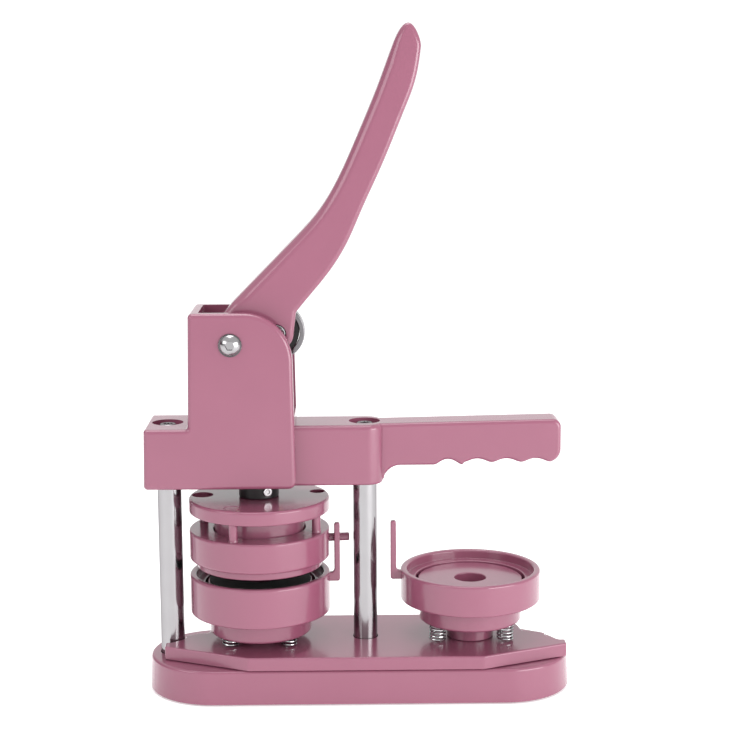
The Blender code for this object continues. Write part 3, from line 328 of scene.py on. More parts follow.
def smooth_line(points, steps):
    """A Catmull-Rom line through the points."""
    ends = [points[0], *points, points[-1]]
    line = []
    for before, start, end, after in zip(ends, ends[1:], ends[2:], ends[3:]):
        for i in range(steps):
            t = i / steps
            line.append(tuple(
                0.5 * (2 * b + (c - a) * t + (2 * a - 5 * b + 4 * c - d) * t * t
                       + (3 * b - a - 3 * c + d) * t ** 3)
                for a, b, c, d in zip(before, start, end, after)))
    return [*line, points[-1]]


# %% Meshes from profiles and outlines
def new_piece(name, bm, finish="pink_plastic"):
    """Close a bmesh into an object at the origin with its finish."""
    bmesh.ops.remove_doubles(bm, verts=bm.verts, dist=1e-7)
    bmesh.ops.recalc_face_normals(bm, faces=bm.faces)
    mesh = bpy.data.meshes.new(name)
    bm.to_mesh(mesh)
    bm.free()
    mesh.materials.append(FINISHES[finish])
    piece = bpy.data.objects.new(name, mesh)
    bpy.context.scene.collection.objects.link(piece)
    return piece


def turned(name, profile, place=(0, 0, 0), finish="pink_plastic", sides=112, closed=False,
           along=(0, 0, 1)):
    """A (radius, height) profile swept round an axis through place."""
    bm = bmesh.new()
    rings = []
    for radius, height in profile:
        if radius < 1e-6:
            rings.append([bm.verts.new((0, 0, height))])
        else:
            rings.append([bm.verts.new((*polar(radius, 360 * k / sides), height)) for k in range(sides)])
    pairs = list(zip(rings, rings[1:]))
    if closed:
        pairs.append((rings[-1], rings[0]))
    for first, second in pairs:
        for k in range(sides):
            corners = [first[k % len(first)], first[(k + 1) % len(first)],
                       second[(k + 1) % len(second)], second[k % len(second)]]
            unique = list(dict.fromkeys(corners))
            if len(unique) > 2:
                bm.faces.new(unique)
    turn = Vector((0, 0, 1)).rotation_difference(Vector(along)).to_matrix().to_4x4()
    bmesh.ops.transform(bm, matrix=Matrix.Translation(place) @ turn, verts=bm.verts)
    return new_piece(name, bm, finish)


def meeting(first, heading, second, bearing):
    """Where two lines cross, or the middle of their starts when they run alongside."""
    turn = heading.x * bearing.y - heading.y * bearing.x
    if abs(turn) < 1e-3:
        return (first + second) / 2
    gap = second - first
    return first + heading * ((gap.x * bearing.y - gap.y * bearing.x) / turn)


def insets(points, sizes):
    """How far each point of a closed outline moves for its rim, without the outline folding over."""
    count = len(points)
    edges = [(points[(i + 1) % count] - points[i]).normalized() for i in range(count)]
    ends = []
    for i, (point, size) in enumerate(zip(points, sizes)):
        before, after = edges[i - 1], edges[i]
        n0, n1 = Vector((before.y, -before.x)), Vector((after.y, -after.x))
        ends.append(point - (n0 + n1) / max(1 + n0.dot(n1), 0.3) * size)
    for _ in range(4):
        folded = [(ends[(i + 1) % count] - ends[i]).dot(edges[i]) < -1e-9 for i in range(count)]
        if not any(folded):
            break
        for start in range(count):
            if folded[start] and not folded[start - 1]:
                last = start
                while folded[(last + 1) % count]:
                    last += 1
                after = (last + 1) % count
                target = meeting(ends[start - 1], edges[start - 1], ends[(after + 1) % count], edges[after])
                for i in range(start, last + 2):
                    ends[i % count] = target
    return [end - point for end, point in zip(ends, points)]


def slab(name, outline, low, high, rims=(0.001, 0.001), upright=False, finish="pink_plastic", steps=5):
    """A flat outline with thickness and quarter-round rims; a rim is one radius or one per point."""
    count = len(outline)
    points = [Vector(p) for p in outline]
    flip = sum(a.x * b.y - b.x * a.y for a, b in zip(points, points[1:] + points[:1])) < 0
    if flip:
        points.reverse()
    sizes, drifts = [], []
    for rim in rims:
        each = list(rim) if hasattr(rim, "__len__") else [rim] * count
        sizes.append(each[::-1] if flip else each)
        drifts.append(insets(points, sizes[-1]))
    levels = []
    for k in range(steps + 1):
        angle = math.radians(90 * k / steps)
        levels.append((0, 1 - math.sin(angle), 1 - math.cos(angle)))
    for k in range(steps + 1):
        angle = math.radians(90 * k / steps)
        levels.append((1, 1 - math.cos(angle), 1 - math.sin(angle)))
    bm = bmesh.new()
    rings = []
    for side, inset, rise in levels:
        ring = []
        for point, drift, size in zip(points, drifts[side], sizes[side]):
            flat = point + drift * inset
            level = low + size * rise if side == 0 else high - size * rise
            ring.append(bm.verts.new((flat.x, level, flat.y) if upright else (flat.x, flat.y, level)))
        rings.append(ring)
    for first, second in zip(rings, rings[1:]):
        for k in range(count):
            after = (k + 1) % count
            bm.faces.new((first[k], first[after], second[after], second[k]))
    bm.faces.new(rings[0])
    bm.faces.new(rings[-1])
    return new_piece(name, bm, finish)


# %% Joining, cutting and softening
def baked(piece):
    """Replace an object that has modifiers by a plain mesh of what they make."""
    bpy.context.view_layer.update()
    shown = piece.evaluated_get(bpy.context.evaluated_depsgraph_get())
    mesh = bpy.data.meshes.new_from_object(shown)
    piece.modifiers.clear()
    piece.data = mesh
    return piece


def combine(piece, operation, tools):
    """Join or cut with other pieces, which are used up."""
    for tool in tools:
        tool.data.materials.clear()
        tool.data.materials.append(piece.data.materials[0])
        step = piece.modifiers.new("step", "BOOLEAN")
        step.operation = operation
        step.solver = "MANIFOLD"
        step.object = tool
    baked(piece)
    for tool in tools:
        bpy.data.objects.remove(tool)
    return piece


def join(piece, *tools):
    return combine(piece, "UNION", tools)


def cut(piece, *tools):
    return combine(piece, "DIFFERENCE", tools)


def soften(piece, width, chosen, steps=3, sharpest=35):
    """Round the sharp edges whose middle passes the test."""
    bm = bmesh.new()
    bm.from_mesh(piece.data)
    edges = []
    for edge in bm.edges:
        if len(edge.link_faces) == 2 and edge.calc_face_angle(0) > math.radians(sharpest):
            if chosen((edge.verts[0].co + edge.verts[1].co) / 2):
                edges.append(edge)
    bmesh.ops.bevel(bm, geom=edges, offset=width, segments=steps, profile=0.5, affect="EDGES",
                    clamp_overlap=True)
    bm.to_mesh(piece.data)
    bm.free()
    return piece


def smoothed(piece, angle=32):
    """Smooth shading with flats kept flat; a face with many corners is cut into triangles first."""
    bm = bmesh.new()
    bm.from_mesh(piece.data)
    bmesh.ops.dissolve_degenerate(bm, dist=1e-7, edges=bm.edges)
    wide = [face for face in bm.faces if len(face.verts) > 4]
    bmesh.ops.triangulate(bm, faces=wide, quad_method="BEAUTY", ngon_method="BEAUTY")
    bm.to_mesh(piece.data)
    bm.free()
    piece.data.shade_smooth()
    piece.data.set_sharp_from_angle(angle=math.radians(angle))
    weigh = piece.modifiers.new("flats", "WEIGHTED_NORMAL")
    weigh.keep_sharp = True
    weigh.weight = 60
    return baked(piece)


def fit(piece, body, slot, *nodes):
    """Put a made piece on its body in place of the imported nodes."""
    smoothed(piece)
    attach(piece, body)
    if nodes:
        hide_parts(*nodes)
    print(f"{piece.name}: {len(piece.data.polygons)} faces on {body}")
    return piece


def drum(radius, low, high, place, along=(0, 0, 1), sides=64):
    """A plain round cutter."""
    profile = [(0, low), (radius, low), (radius, high), (0, high)]
    return turned("cutter", profile, place, sides=sides, along=along)


def block(low, high):
    """A box cutter with a little round on its upright edges."""
    corners = [(low[0], low[1], 0.0012), (high[0], low[1], 0.0012),
               (high[0], high[1], 0.0012), (low[0], high[1], 0.0012)]
    return slab("cutter", rounded(corners), low[2], high[2], (0, 0))


# %% [markdown]
# ## The base
# The base is a shallow moulded tub with round ends. Its sides lean in a little so that it leaves
# the mould, and its top edge is rounded. It could be one extruded shape with a bevel. A loft of
# the same outline at several heights gives the lean and the round in one go. The tub's hollow, the
# post sockets and the screw holes are then cut.

# %% Base shell
BASE_SIZE = span("base_shell")
BASE_LOW, BASE_HIGH = bottom_of("base_shell"), top_of("base_shell")
BASE_DRAFT = 0.0007
BASE_ROUND = 0.0016
BASE_WALL = 0.0032
SOCKET_DEPTH = 0.0086
BOSS = 0.0110
SCREW = 0.0030
FOOT_HEAD = 0.0052


def stadium(length, width, count=28):
    radius = width / 2
    reach = length / 2 - radius
    return arc((reach, 0), radius, -90, 90, count) + arc((-reach, 0), radius, 90, 270, count)


def make_base():
    shell = slab("base_housing", stadium(BASE_SIZE.x, BASE_SIZE.y), BASE_LOW, BASE_HIGH,
                 (0.0006, BASE_ROUND), steps=6)
    for vertex in shell.data.vertices:
        rise = (vertex.co.z - BASE_LOW) / (BASE_HIGH - BASE_LOW)
        vertex.co.x -= math.copysign(BASE_DRAFT * rise, vertex.co.x)
        vertex.co.y *= 1 - 2 * BASE_DRAFT * rise / BASE_SIZE.y
    hollow = slab("hollow", stadium(BASE_SIZE.x - 2 * BASE_WALL, BASE_SIZE.y - 2 * BASE_WALL),
                  BASE_LOW - 0.004, BASE_HIGH - BASE_WALL, (0, 0))
    floor = top_of("base_cover") + GAP
    cut(hollow, *(drum(BOSS, floor, BASE_HIGH, (x, 0, 0)) for x in (LEFT_POST, CENTER_POST)))
    tools = [hollow, drum(span("turntable_washer").x / 2 + GAP, bottom_of("turntable_washer") - GAP,
                          BASE_HIGH + 0.003, (CENTER_POST, 0, 0))]
    for x in (LEFT_POST, CENTER_POST):
        seat = BASE_HIGH - SOCKET_DEPTH
        tools.append(drum(POST + GAP, seat, BASE_HIGH + 0.003, (x, 0, 0)))
        tools.append(drum(SCREW + GAP, floor - 0.002, seat + 0.001, (x, 0, 0), sides=24))
        tools.append(drum(FOOT_HEAD + GAP, floor - 0.001, floor + 0.0037, (x, 0, 0), sides=32))
    cut(shell, *tools)
    soften(shell, 0.0005, lambda p: p.z > BASE_HIGH - 0.0001 and abs(p.y) < 0.016)
    return fit(shell, "frame", "pink_plastic", "base_shell")


make_base()

# %% [markdown]
# A thin cover closes the tub, and four rubber feet stand a little proud of it. The feet repeat, so
# a small Geometry Nodes tree puts one turned foot on each of four points.

# %% Cover and feet
COVER_LOW, COVER_HIGH = bottom_of("base_cover"), top_of("base_cover")
FOOT_NODES = [f"rubber_foot_{number}" for number in (1, 2, 3, 4)]
FOOT = span(FOOT_NODES[0]).x / 2


def make_cover():
    size = span("base_cover")
    cover = slab("base_bottom_cover", stadium(size.x, size.y), COVER_LOW, COVER_HIGH, (0.0003, 0.0003),
                 finish="grey_plastic", steps=2)
    seats = [drum(FOOT + GAP, COVER_LOW - 0.002, top_of(node) + GAP, (middle(node).x, middle(node).y, 0),
                  sides=48) for node in FOOT_NODES]
    cut(cover, *seats)
    return fit(cover, "frame", "grey_plastic", "base_cover")


make_cover()


def tree_for(name, sizes):
    """A Geometry Nodes tree with a geometry input and named sizes."""
    group = bpy.data.node_groups.new(name, "GeometryNodeTree")
    group.interface.new_socket("Geometry", in_out="INPUT", socket_type="NodeSocketGeometry")
    kinds = {float: "NodeSocketFloat", int: "NodeSocketInt", bpy.types.Material: "NodeSocketMaterial"}
    for label, value in sizes.items():
        kind = kinds[bpy.types.Material if isinstance(value, bpy.types.Material) else type(value)]
        group.interface.new_socket(label, in_out="INPUT", socket_type=kind)
    group.interface.new_socket("Geometry", in_out="OUTPUT", socket_type="NodeSocketGeometry")
    start = group.nodes.new("NodeGroupInput")
    tree = Tree(group)
    values = {socket.name: Term(tree, socket) for socket in start.outputs if socket.name}
    return tree, values


def grown(name, tree, shape, material, sizes):
    """Finish a tree, run it with its sizes, and keep what it makes as a plain piece."""
    solid = tree.node("GeometryNodeRealizeInstances", inputs={"Geometry": shape})
    painted = tree.node("GeometryNodeSetMaterial", inputs={"Geometry": solid, "Material": material})
    end = tree.tree.nodes.new("NodeGroupOutput")
    tree.tree.links.new(painted.socket, end.inputs["Geometry"])
    piece = bpy.data.objects.new(name, bpy.data.meshes.new(name))
    modifier = piece.modifiers.new(name, "NODES")
    modifier.node_group = tree.tree
    for item in tree.tree.interface.items_tree:
        if item.item_type == "SOCKET" and item.in_out == "INPUT" and item.name in sizes:
            modifier[item.identifier] = sizes[item.name]
    bpy.context.scene.collection.objects.link(piece)
    return baked(piece)


def swept(tree, curve, radius, sides, width=1.0):
    """A round bar along a curve."""
    ring = tree.node("GeometryNodeCurvePrimitiveCircle", inputs={"Resolution": sides, "Radius": radius})
    return tree.node("GeometryNodeCurveToMesh",
                     inputs={"Curve": curve, "Profile Curve": ring, "Scale": width, "Fill Caps": True})


def column(tree, value, levels, sides, width):
    """An upright bar whose width changes along it."""
    tall = tree.node("ShaderNodeCombineXYZ", inputs={"Z": value["Height"]})
    stem = tree.node("GeometryNodeCurvePrimitiveLine", inputs={"End": tall})
    fine = tree.node("GeometryNodeResampleCurve", inputs={"Curve": stem, "Count": levels})
    along = tree.node("GeometryNodeSplineParameter")
    return swept(tree, fine, value["Radius"], sides, width(along))


def moved(piece, offset):
    piece.data.transform(Matrix.Translation(offset))
    return piece


def foot_width(along):
    return 1 - 0.10 * (1 - along * 5).clamped() - 0.04 * (along * 5 - 4).clamped()


def make_feet():
    low, high = bottom_of(FOOT_NODES[0]), top_of(FOOT_NODES[0])
    spots = middle(FOOT_NODES[3])
    sizes = {"Radius": FOOT, "Height": high - low, "Reach X": 2 * spots.x, "Reach Y": 2 * spots.y,
             "Finish": FINISHES["black_rubber"]}
    tree, value = tree_for("feet", sizes)
    foot = column(tree, value, 9, 40, foot_width)
    grid = tree.node("GeometryNodeMeshGrid", inputs={
        "Size X": value["Reach X"], "Size Y": value["Reach Y"], "Vertices X": 2, "Vertices Y": 2})
    feet = tree.node("GeometryNodeInstanceOnPoints", inputs={"Points": grid, "Instance": foot})
    piece = grown("rubber_feet", tree, feet, value["Finish"], sizes)
    moved(piece, (0, 0, low))
    return fit(piece, "frame", "black_rubber", *FOOT_NODES)


make_feet()

# %% [markdown]
# ## The turntable
# A flat plate turns on the centre post and carries both lower dies. Its ends are notched so that
# they stop against the left post after each half turn. The outline is half a plan mirrored about
# the centre post. All of its corners are rounded, and the top rim has a wider round than the lower.

# %% Turntable plate
PLATE_LOW = bottom_of("turntable_plate")
PLATE_HALF_LENGTH = span("turntable_plate").x / 2
PLATE_HALF_WIDTH = span("turntable_plate").y / 2
POST_REACH = CENTER_POST - LEFT_POST
FRONT_BEVEL = 0.04695
NEST = POST + 0.0006
TOOTH_BACK = POST + 0.00283
TOOTH_WIDTH = 0.0072
LOBE = 0.0144
LOBE_CENTRE = (POST_REACH - NEST - 0.01053, -0.0080)
NECK = (LOBE_CENTRE[0] - 0.0015, LOBE + LOBE_CENTRE[1])


def plate_half():
    """Right half of the plan as (x, y, corner radius), front to back."""
    corner = PLATE_HALF_LENGTH - FRONT_BEVEL
    side = [(corner, -PLATE_HALF_WIDTH, 0.0040), (PLATE_HALF_LENGTH, -TOOTH_BACK - TOOTH_WIDTH, 0.0014),
            (PLATE_HALF_LENGTH, -TOOTH_BACK, 0.0012), (POST_REACH, -TOOTH_BACK, 0.0010)]
    side += [(*p, 0) for p in arc((POST_REACH, 0), NEST, 240, 168, 8)]
    side += [(*p, 0) for p in arc(LOBE_CENTRE, LOBE, 42, 90, 8)]
    side += [(*NECK, 0.0010), (NECK[0] - 0.0018, NECK[1] + 0.0111, 0.0015),
             (corner, PLATE_HALF_WIDTH, 0.0030)]
    return side


def make_plate():
    side = plate_half()
    plan = [(CENTER_POST + x, y, r) for x, y, r in side]
    plan += [(CENTER_POST - x, y, r) for x, y, r in reversed(side)]
    plate = slab("turntable", rounded(plan, steps=5), PLATE_LOW, DECK, (0.0004, 0.0009), steps=5)
    tools = [drum(POST + GAP, PLATE_LOW - 0.002, DECK + 0.002, (CENTER_POST, 0, 0))]
    for x in (LEFT_DIE, RIGHT_DIE):
        tools.append(drum(SCREW + GAP, PLATE_LOW - 0.002, DECK + 0.002, (x, 0, 0), sides=24))
        tools.append(drum(FOOT_HEAD + GAP, PLATE_LOW - 0.002, PLATE_LOW + 0.0040, (x, 0, 0), sides=32))
    cut(plate, *tools)
    soften(plate, 0.0004, lambda p: math.hypot(p.x - CENTER_POST, p.y) < POST + 0.001)
    return fit(plate, "turntable", "pink_plastic", "turntable_plate")


make_plate()


# %% [markdown]
# ## Posts and their screws
# Both posts are ground and chromed bar, so each is a turned profile with a small round at each end,
# bored for its screws. The socket screws on top sit deep in their counterbores: a turned head, a
# hexagonal socket cut into it, and a shank.

# %% Posts
HEAD_DEPTH, SOCKET, SOCKET_SINK, TAPPED = 0.00255, 0.0027, 0.0016, 0.012


def make_post(label, x):
    low, high = bottom_of(f"{label}_post"), top_of(f"{label}_post")
    profile = [(0, low, 0), (POST, low, 0.0006), (POST, high, 0.0006), (0, high, 0)]
    post = turned(f"{label}_round_post", rounded(profile, closed=False, steps=3), (x, 0, 0), "chrome",
                  sides=96)
    cut(post, drum(SCREW + GAP, high - TAPPED, high + 0.001, (x, 0, 0), sides=32),
        drum(SCREW + GAP, low - 0.001, low + TAPPED, (x, 0, 0), sides=32))
    return fit(post, "frame", "chrome", f"{label}_post")


def make_top_screw(label, x):
    node = f"{label}_post_top_screw"
    low, high = bottom_of(node), top_of(node)
    head = span(node).x / 2
    seat = high - HEAD_DEPTH
    profile = [(0, low, 0), (SCREW, low, 0.0005), (SCREW, seat, 0), (head, seat, 0.0002),
               (head, high, 0.0007), (0, high, 0)]
    screw = turned(f"{label}_cap_screw", rounded(profile, closed=False, steps=4), (x, 0, 0), "chrome",
                   sides=64)
    cut(screw, drum(SOCKET, high - SOCKET_SINK, high + 0.001, (x, 0, 0), sides=6))
    soften(screw, 0.00015, lambda p: p.z > high - 0.0001 and math.hypot(p.x - x, p.y) < 0.003, steps=2)
    return fit(screw, "frame", "chrome", node)


for label, x in (("left", LEFT_POST), ("center", CENTER_POST)):
    make_post(label, x)
    make_top_screw(label, x)


# %% [markdown]
# ## The lower dies
# Each lower die is a fixed platen inside a sprung cup. Turned profiles give both. On the cup's
# side stands an upright rod, in one moulding with the cup, so it is an outline in side view whose
# inner corner has the mould's hollow round. A Boolean joins the rod to the turned cup.

# %% Platens
PLATEN_TOP = top_of("right_platen")
PLATEN_THICKNESS = 0.0083
EYE = 0.0086
EYE_DEPTH = 0.0110
STEM = 0.0130
TAP_DEPTH = 0.0142
# The dark ring on the left platen is painted shade. It darkens the platen top that lies in the upper die's
# shadow.
SHADE_BORE, SHADE_RADIUS, SHADE_TOP = EYE + 0.0008, BADGE - 0.0009, PLATEN_TOP + 0.0008
SHADE_ROUND = 0.0004


def make_platen(label, x):
    under = PLATEN_TOP - PLATEN_THICKNESS
    low = bottom_of(f"{label}_platen")
    profile = [(0, PLATEN_TOP - EYE_DEPTH, 0), (EYE, PLATEN_TOP - EYE_DEPTH, 0.0006),
               (EYE, PLATEN_TOP, 0.0007), (BADGE, PLATEN_TOP, 0.0007), (BADGE, under, 0.0005),
               (STEM, under, 0.0008), (STEM, low, 0.0003), (SCREW + GAP, low, 0),
               (SCREW + GAP, low + TAP_DEPTH, 0), (0, low + TAP_DEPTH, 0)]
    platen = turned(f"{label}_badge_platen", rounded(profile, closed=False), (x, 0, 0), sides=128)
    return fit(platen, "turntable", "pink_plastic", f"{label}_platen")


def make_painted_shade():
    """Painted shade: a thin dark ring with an eye, laid on the left platen where the upper die shades its
    top.
    """
    profile = rounded([(SHADE_BORE, PLATEN_TOP, 0), (SHADE_RADIUS, PLATEN_TOP, 0),
                       (SHADE_RADIUS, SHADE_TOP, SHADE_ROUND), (SHADE_BORE, SHADE_TOP, SHADE_ROUND)])
    pad = turned("left_platen_painted_shade", profile, (LEFT_DIE, 0, 0), "black_rubber", sides=128, closed=True)
    return fit(pad, "turntable", "black_rubber")


make_platen("left", LEFT_DIE)
make_platen("right", RIGHT_DIE)
make_painted_shade()

# %% Cups with their rods
LEDGE_BORE = BADGE + 0.0012
CUP_BORE = LEDGE_BORE + 0.0048
RECESS = 0.0050
FLANGE = DIE - 0.0106
ROD_WIDTH = 0.0032
ROD_DEPTH = 0.0036
ROD_FOOT_DROP = 0.0062
ROD_FOOT_HEIGHT = 0.0050
ROD_HOLLOW = 0.0022
CUPS = {"left": {"x": LEFT_DIE, "rise": 0.0049, "band": 0.0220, "way": 1},
        "right": {"x": RIGHT_DIE, "rise": 0.0057, "band": 0.0172, "way": -1}}


def cup_profile(rim, band, flange):
    step = rim - band
    ledge = rim - RECESS
    floor = PLATEN_TOP - PLATEN_THICKNESS - GAP
    stem = STEM + 0.0005
    return rounded([(DIE, rim, 0.0013), (DIE, step, 0.0013), (FLANGE, step, 0.0006),
                    (FLANGE, flange, 0.0014), (stem, flange, 0.0005), (stem, floor, 0.0004),
                    (LEDGE_BORE, floor, 0.0004), (LEDGE_BORE, ledge, 0.0006), (CUP_BORE, ledge, 0.0004),
                    (CUP_BORE, rim, 0.0013)], steps=6)


def make_rod(x, way, rim, top):
    """The upright rod and its foot, in side view; way points from the cup to the centre post."""
    outer = CENTER_POST - way * (POST + 0.00743)
    inner = outer - way * ROD_WIDTH
    root = x + way * (DIE - 0.0019)
    low = rim - ROD_FOOT_DROP
    shelf = low + ROD_FOOT_HEIGHT
    line = [(outer, low, 0.0014), (outer, top, 0.0013), (inner, top, 0.0013), (inner, shelf, ROD_HOLLOW),
            (root, shelf, 0), (root, low, 0)]
    return slab("rod", rounded(line), -ROD_DEPTH / 2, ROD_DEPTH / 2, (0.0008, 0.0008),
                upright=True, steps=4)


def make_cup(label):
    facts = CUPS[label]
    x = facts["x"]
    rim = PLATEN_TOP + facts["rise"]
    node = f"{label}_cup"
    flange = bottom_of(node)
    cup = turned(f"{label}_sprung_cup", cup_profile(rim, facts["band"], flange), (x, 0, 0), closed=True,
                 sides=144)
    join(cup, make_rod(x, facts["way"], rim, top_of(node)))
    if label == "left":
        pockets = []
        for number in (1, 2, 3, 4):
            place = middle(f"left_cup_spring_{number}")
            pockets.append(drum(0.00535, flange - 0.002, top_of(f"left_cup_spring_{number}") + GAP,
                                (place.x, place.y, 0), sides=40))
        cut(cup, *pockets)
    return fit(cup, node, "pink_plastic", node)


make_cup("left")
make_cup("right")


# %% [markdown]
# ## Springs
# A compression spring isn't a plain helix: its first and last turns lie almost flat, so that it
# stands straight. The tree winds a spiral, bends its height along the wire so that both end turns
# close, sweeps a round wire along it, and stands copies on a circle of points.

# %% Spring tree
CLOSED_TURNS = 0.85
CUP_COIL, CUP_TRAVEL = (0.0041, 0.00062, 4.6), 0.0035
RETURN_COIL, RETURN_TRAVEL = (0.0126, 0.0008, 6.0), 0.0070


def make_springs(name, body, nodes, circle, start, coil, x):
    count = len(nodes)
    radius, wire, turns = coil
    low, high = bottom_of(nodes[0]), top_of(nodes[0])
    sizes = {"Radius": radius, "Wire": wire, "Turns": turns, "Height": high - low, "Circle": circle,
             "Count": count, "Finish": FINISHES["bright_steel"]}
    tree, value = tree_for(name, sizes)
    wound = tree.node("GeometryNodeCurveSpiral", inputs={
        "Resolution": 20, "Rotations": value["Turns"], "Height": 0.0,
        "Start Radius": value["Radius"], "End Radius": value["Radius"]})
    along = tree.node("GeometryNodeSplineParameter")
    dead = CLOSED_TURNS / value["Turns"]
    thick = value["Wire"] * 2
    first = (along / dead).clamped()
    last = ((along - 1) / dead + 1).clamped()
    main = ((along - dead) / (1 - dead * 2)).clamped()
    rise = value["Wire"] + (first + last) * thick + main * (value["Height"] - thick * 3)
    lift = tree.node("ShaderNodeCombineXYZ", inputs={"Z": rise})
    bent = tree.node("GeometryNodeSetPosition", inputs={"Geometry": wound, "Offset": lift})
    spring = swept(tree, bent, value["Wire"], 10)
    if count > 1:
        points = tree.node("GeometryNodeMeshCircle",
                           inputs={"Vertices": value["Count"], "Radius": value["Circle"]})
        shape = tree.node("GeometryNodeInstanceOnPoints", inputs={"Points": points, "Instance": spring})
    else:
        shape = spring
    piece = grown(name, tree, shape, value["Finish"], sizes)
    piece.data.transform(Matrix.Rotation(math.radians(start), 4, "Z"))
    moved(piece, (x, 0, low))
    fit(piece, body, "bright_steel", *nodes)
    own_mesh(piece)
    return piece


for label, count, start in (("left", 4, 45), ("right", 3, 90)):
    nodes = [f"{label}_cup_spring_{number}" for number in range(1, count + 1)]
    place = middle(nodes[0])
    circle = math.hypot(place.x - CUPS[label]["x"], place.y)
    make_springs(f"{label}_cup_springs", "turntable", nodes, circle, start, CUP_COIL,
                 CUPS[label]["x"])


# %% [markdown]
# ## The upper die
# The upper die is a ring with a stepped bore and a metal ring pressed into its lower edge. Four
# pillars stand on it. They widen at both ends as moulded pillars do, so the tree scales the section
# along each pillar and stands four of them on a circle. The peg that turns the die is a round bar
# with a soft end, joined to the ring.

# %% Ring, pillars and peg
RING_LOW, RING_TOP = DECK + 0.0465, DECK + 0.0632
RING_BORE, RING_LIP_BORE, RING_LIP = 0.0292, 0.0254, DECK + 0.0534
CRIMP_SEAT = DECK + 0.0503
LIP, LIP_LOW = CUP_BORE - 0.0004, DECK + 0.0424
CRIMP = span("crimp_ring").x / 2
PILLAR_CIRCLE, PILLAR, PILLAR_START, PILLAR_SINK = 0.0340, 0.0024, -111.4, 0.0004
DISC_LOW, DISC_TOP = bottom_of("press_disc"), top_of("press_disc")
PEG_TURN, PEG, PEG_DROP, PEG_TIP = 7.0, 0.0023, 0.0076, 0.0499


def make_ring():
    seat = CRIMP + GAP
    ring = turned("upper_ring", rounded([
        (DIE, RING_TOP, 0.0012), (DIE, RING_LOW, 0.0026), (LIP, RING_LOW, 0.0004), (LIP, LIP_LOW, 0.0009),
        (seat, LIP_LOW, 0.0002), (seat, CRIMP_SEAT, 0),
        (RING_BORE, CRIMP_SEAT, 0.0003), (RING_BORE, RING_LIP, 0.0005), (RING_LIP_BORE, RING_LIP, 0.0005),
        (RING_LIP_BORE, RING_TOP, 0.0008)]), (LEFT_DIE, 0, 0), closed=True, sides=144)
    peg = [(0, 0, 0), (PEG, 0, 0), (PEG, PEG_TIP - DIE + 0.002, 0.0006), (0, PEG_TIP - DIE + 0.002, 0)]
    out = Vector((*polar(1, PEG_TURN), 0))
    root = Vector((LEFT_DIE, 0, RING_TOP - PEG_DROP)) + (DIE - 0.002) * out
    join(ring, turned("peg", rounded(peg, closed=False), root, sides=32, along=out))
    return fit(ring, "upper_die", "pink_plastic", "upper_die_ring")


def pillar_width(along):
    flare = (1 - along.least(1 - along) * 6).clamped()
    return 1 + flare * flare * 0.22


def make_pillars():
    sizes = {"Radius": PILLAR, "Height": DISC_LOW - RING_TOP + PILLAR_SINK, "Circle": PILLAR_CIRCLE,
             "Count": 4, "Finish": FINISHES["pink_plastic"]}
    tree, value = tree_for("pillars", sizes)
    pillar = column(tree, value, 25, 32, pillar_width)
    points = tree.node("GeometryNodeMeshCircle", inputs={"Vertices": value["Count"],
                                                         "Radius": value["Circle"]})
    pillars = tree.node("GeometryNodeInstanceOnPoints", inputs={"Points": points, "Instance": pillar})
    piece = grown("ring_pillars", tree, pillars, value["Finish"], sizes)
    piece.data.transform(Matrix.Rotation(math.radians(PILLAR_START), 4, "Z"))
    moved(piece, (LEFT_DIE, 0, RING_TOP - PILLAR_SINK))
    return fit(piece, "upper_die", "pink_plastic", "upper_die_ring")


def make_crimp():
    low, high = bottom_of("crimp_ring"), top_of("crimp_ring")
    bore = CRIMP - 0.0032
    crimp = turned("bright_crimp_ring", rounded([
        (CRIMP, high, 0.0004), (CRIMP, low, 0.0008), (CRIMP - 0.0017, low, 0.0006),
        (bore, low + 0.0013, 0.0004), (bore, high, 0.0004)], steps=4),
        (LEFT_DIE, 0, 0), "dark_steel", closed=True, sides=128)
    return fit(crimp, "upper_die", "chrome", "crimp_ring")


make_ring()
make_pillars()
make_crimp()

# %% [markdown]
# ## Ram, press disc and inner die
# The blackened ram slides in the block. The disc under it is bored through in two places and has a
# shallow ring mark where the mould's ejector touched it. The holes are cut, then their rims are
# softened, because a drilled edge without a highlight looks painted on.

# %% Ram parts
RAM = span("ram_shaft").x / 2
DISC_HOLES = ((0.0332, 15.7, 0.0042), (0.0315, 175.3, 0.0060))
MARK_PLACE, MARK_RADIUS = (-0.0130, -0.0285), 0.0044


def make_shaft():
    low, high = bottom_of("ram_shaft"), top_of("ram_shaft")
    profile = [(0, high, 0), (RAM, high, 0.0004), (RAM, low + 0.0004, 0.0003), (RAM - 0.0004, low, 0),
               (SCREW + GAP, low, 0), (SCREW + GAP, low + 0.0140, 0), (0, low + 0.0140, 0)]
    shaft = turned("ram_rod", rounded(profile, closed=False, steps=3), (LEFT_DIE, 0, 0), "black_steel",
                   sides=96)
    return fit(shaft, "ram", "black_steel", "ram_shaft")


def make_ram_cap():
    low, high = bottom_of("ram_cap"), top_of("ram_cap")
    rim = span("ram_cap").x / 2
    profile = [(0, high, 0), (0.0080, high, 0.0012), (0.0080, low + 0.0025, 0.0003),
               (rim, low + 0.0025, 0.0006), (rim, low, 0.0003), (0, low, 0)]
    cap = turned("ram_button", rounded(profile, closed=False, steps=4), (LEFT_DIE, 0, 0), "bright_steel",
                 sides=96)
    return fit(cap, "ram", "bright_steel", "ram_cap")


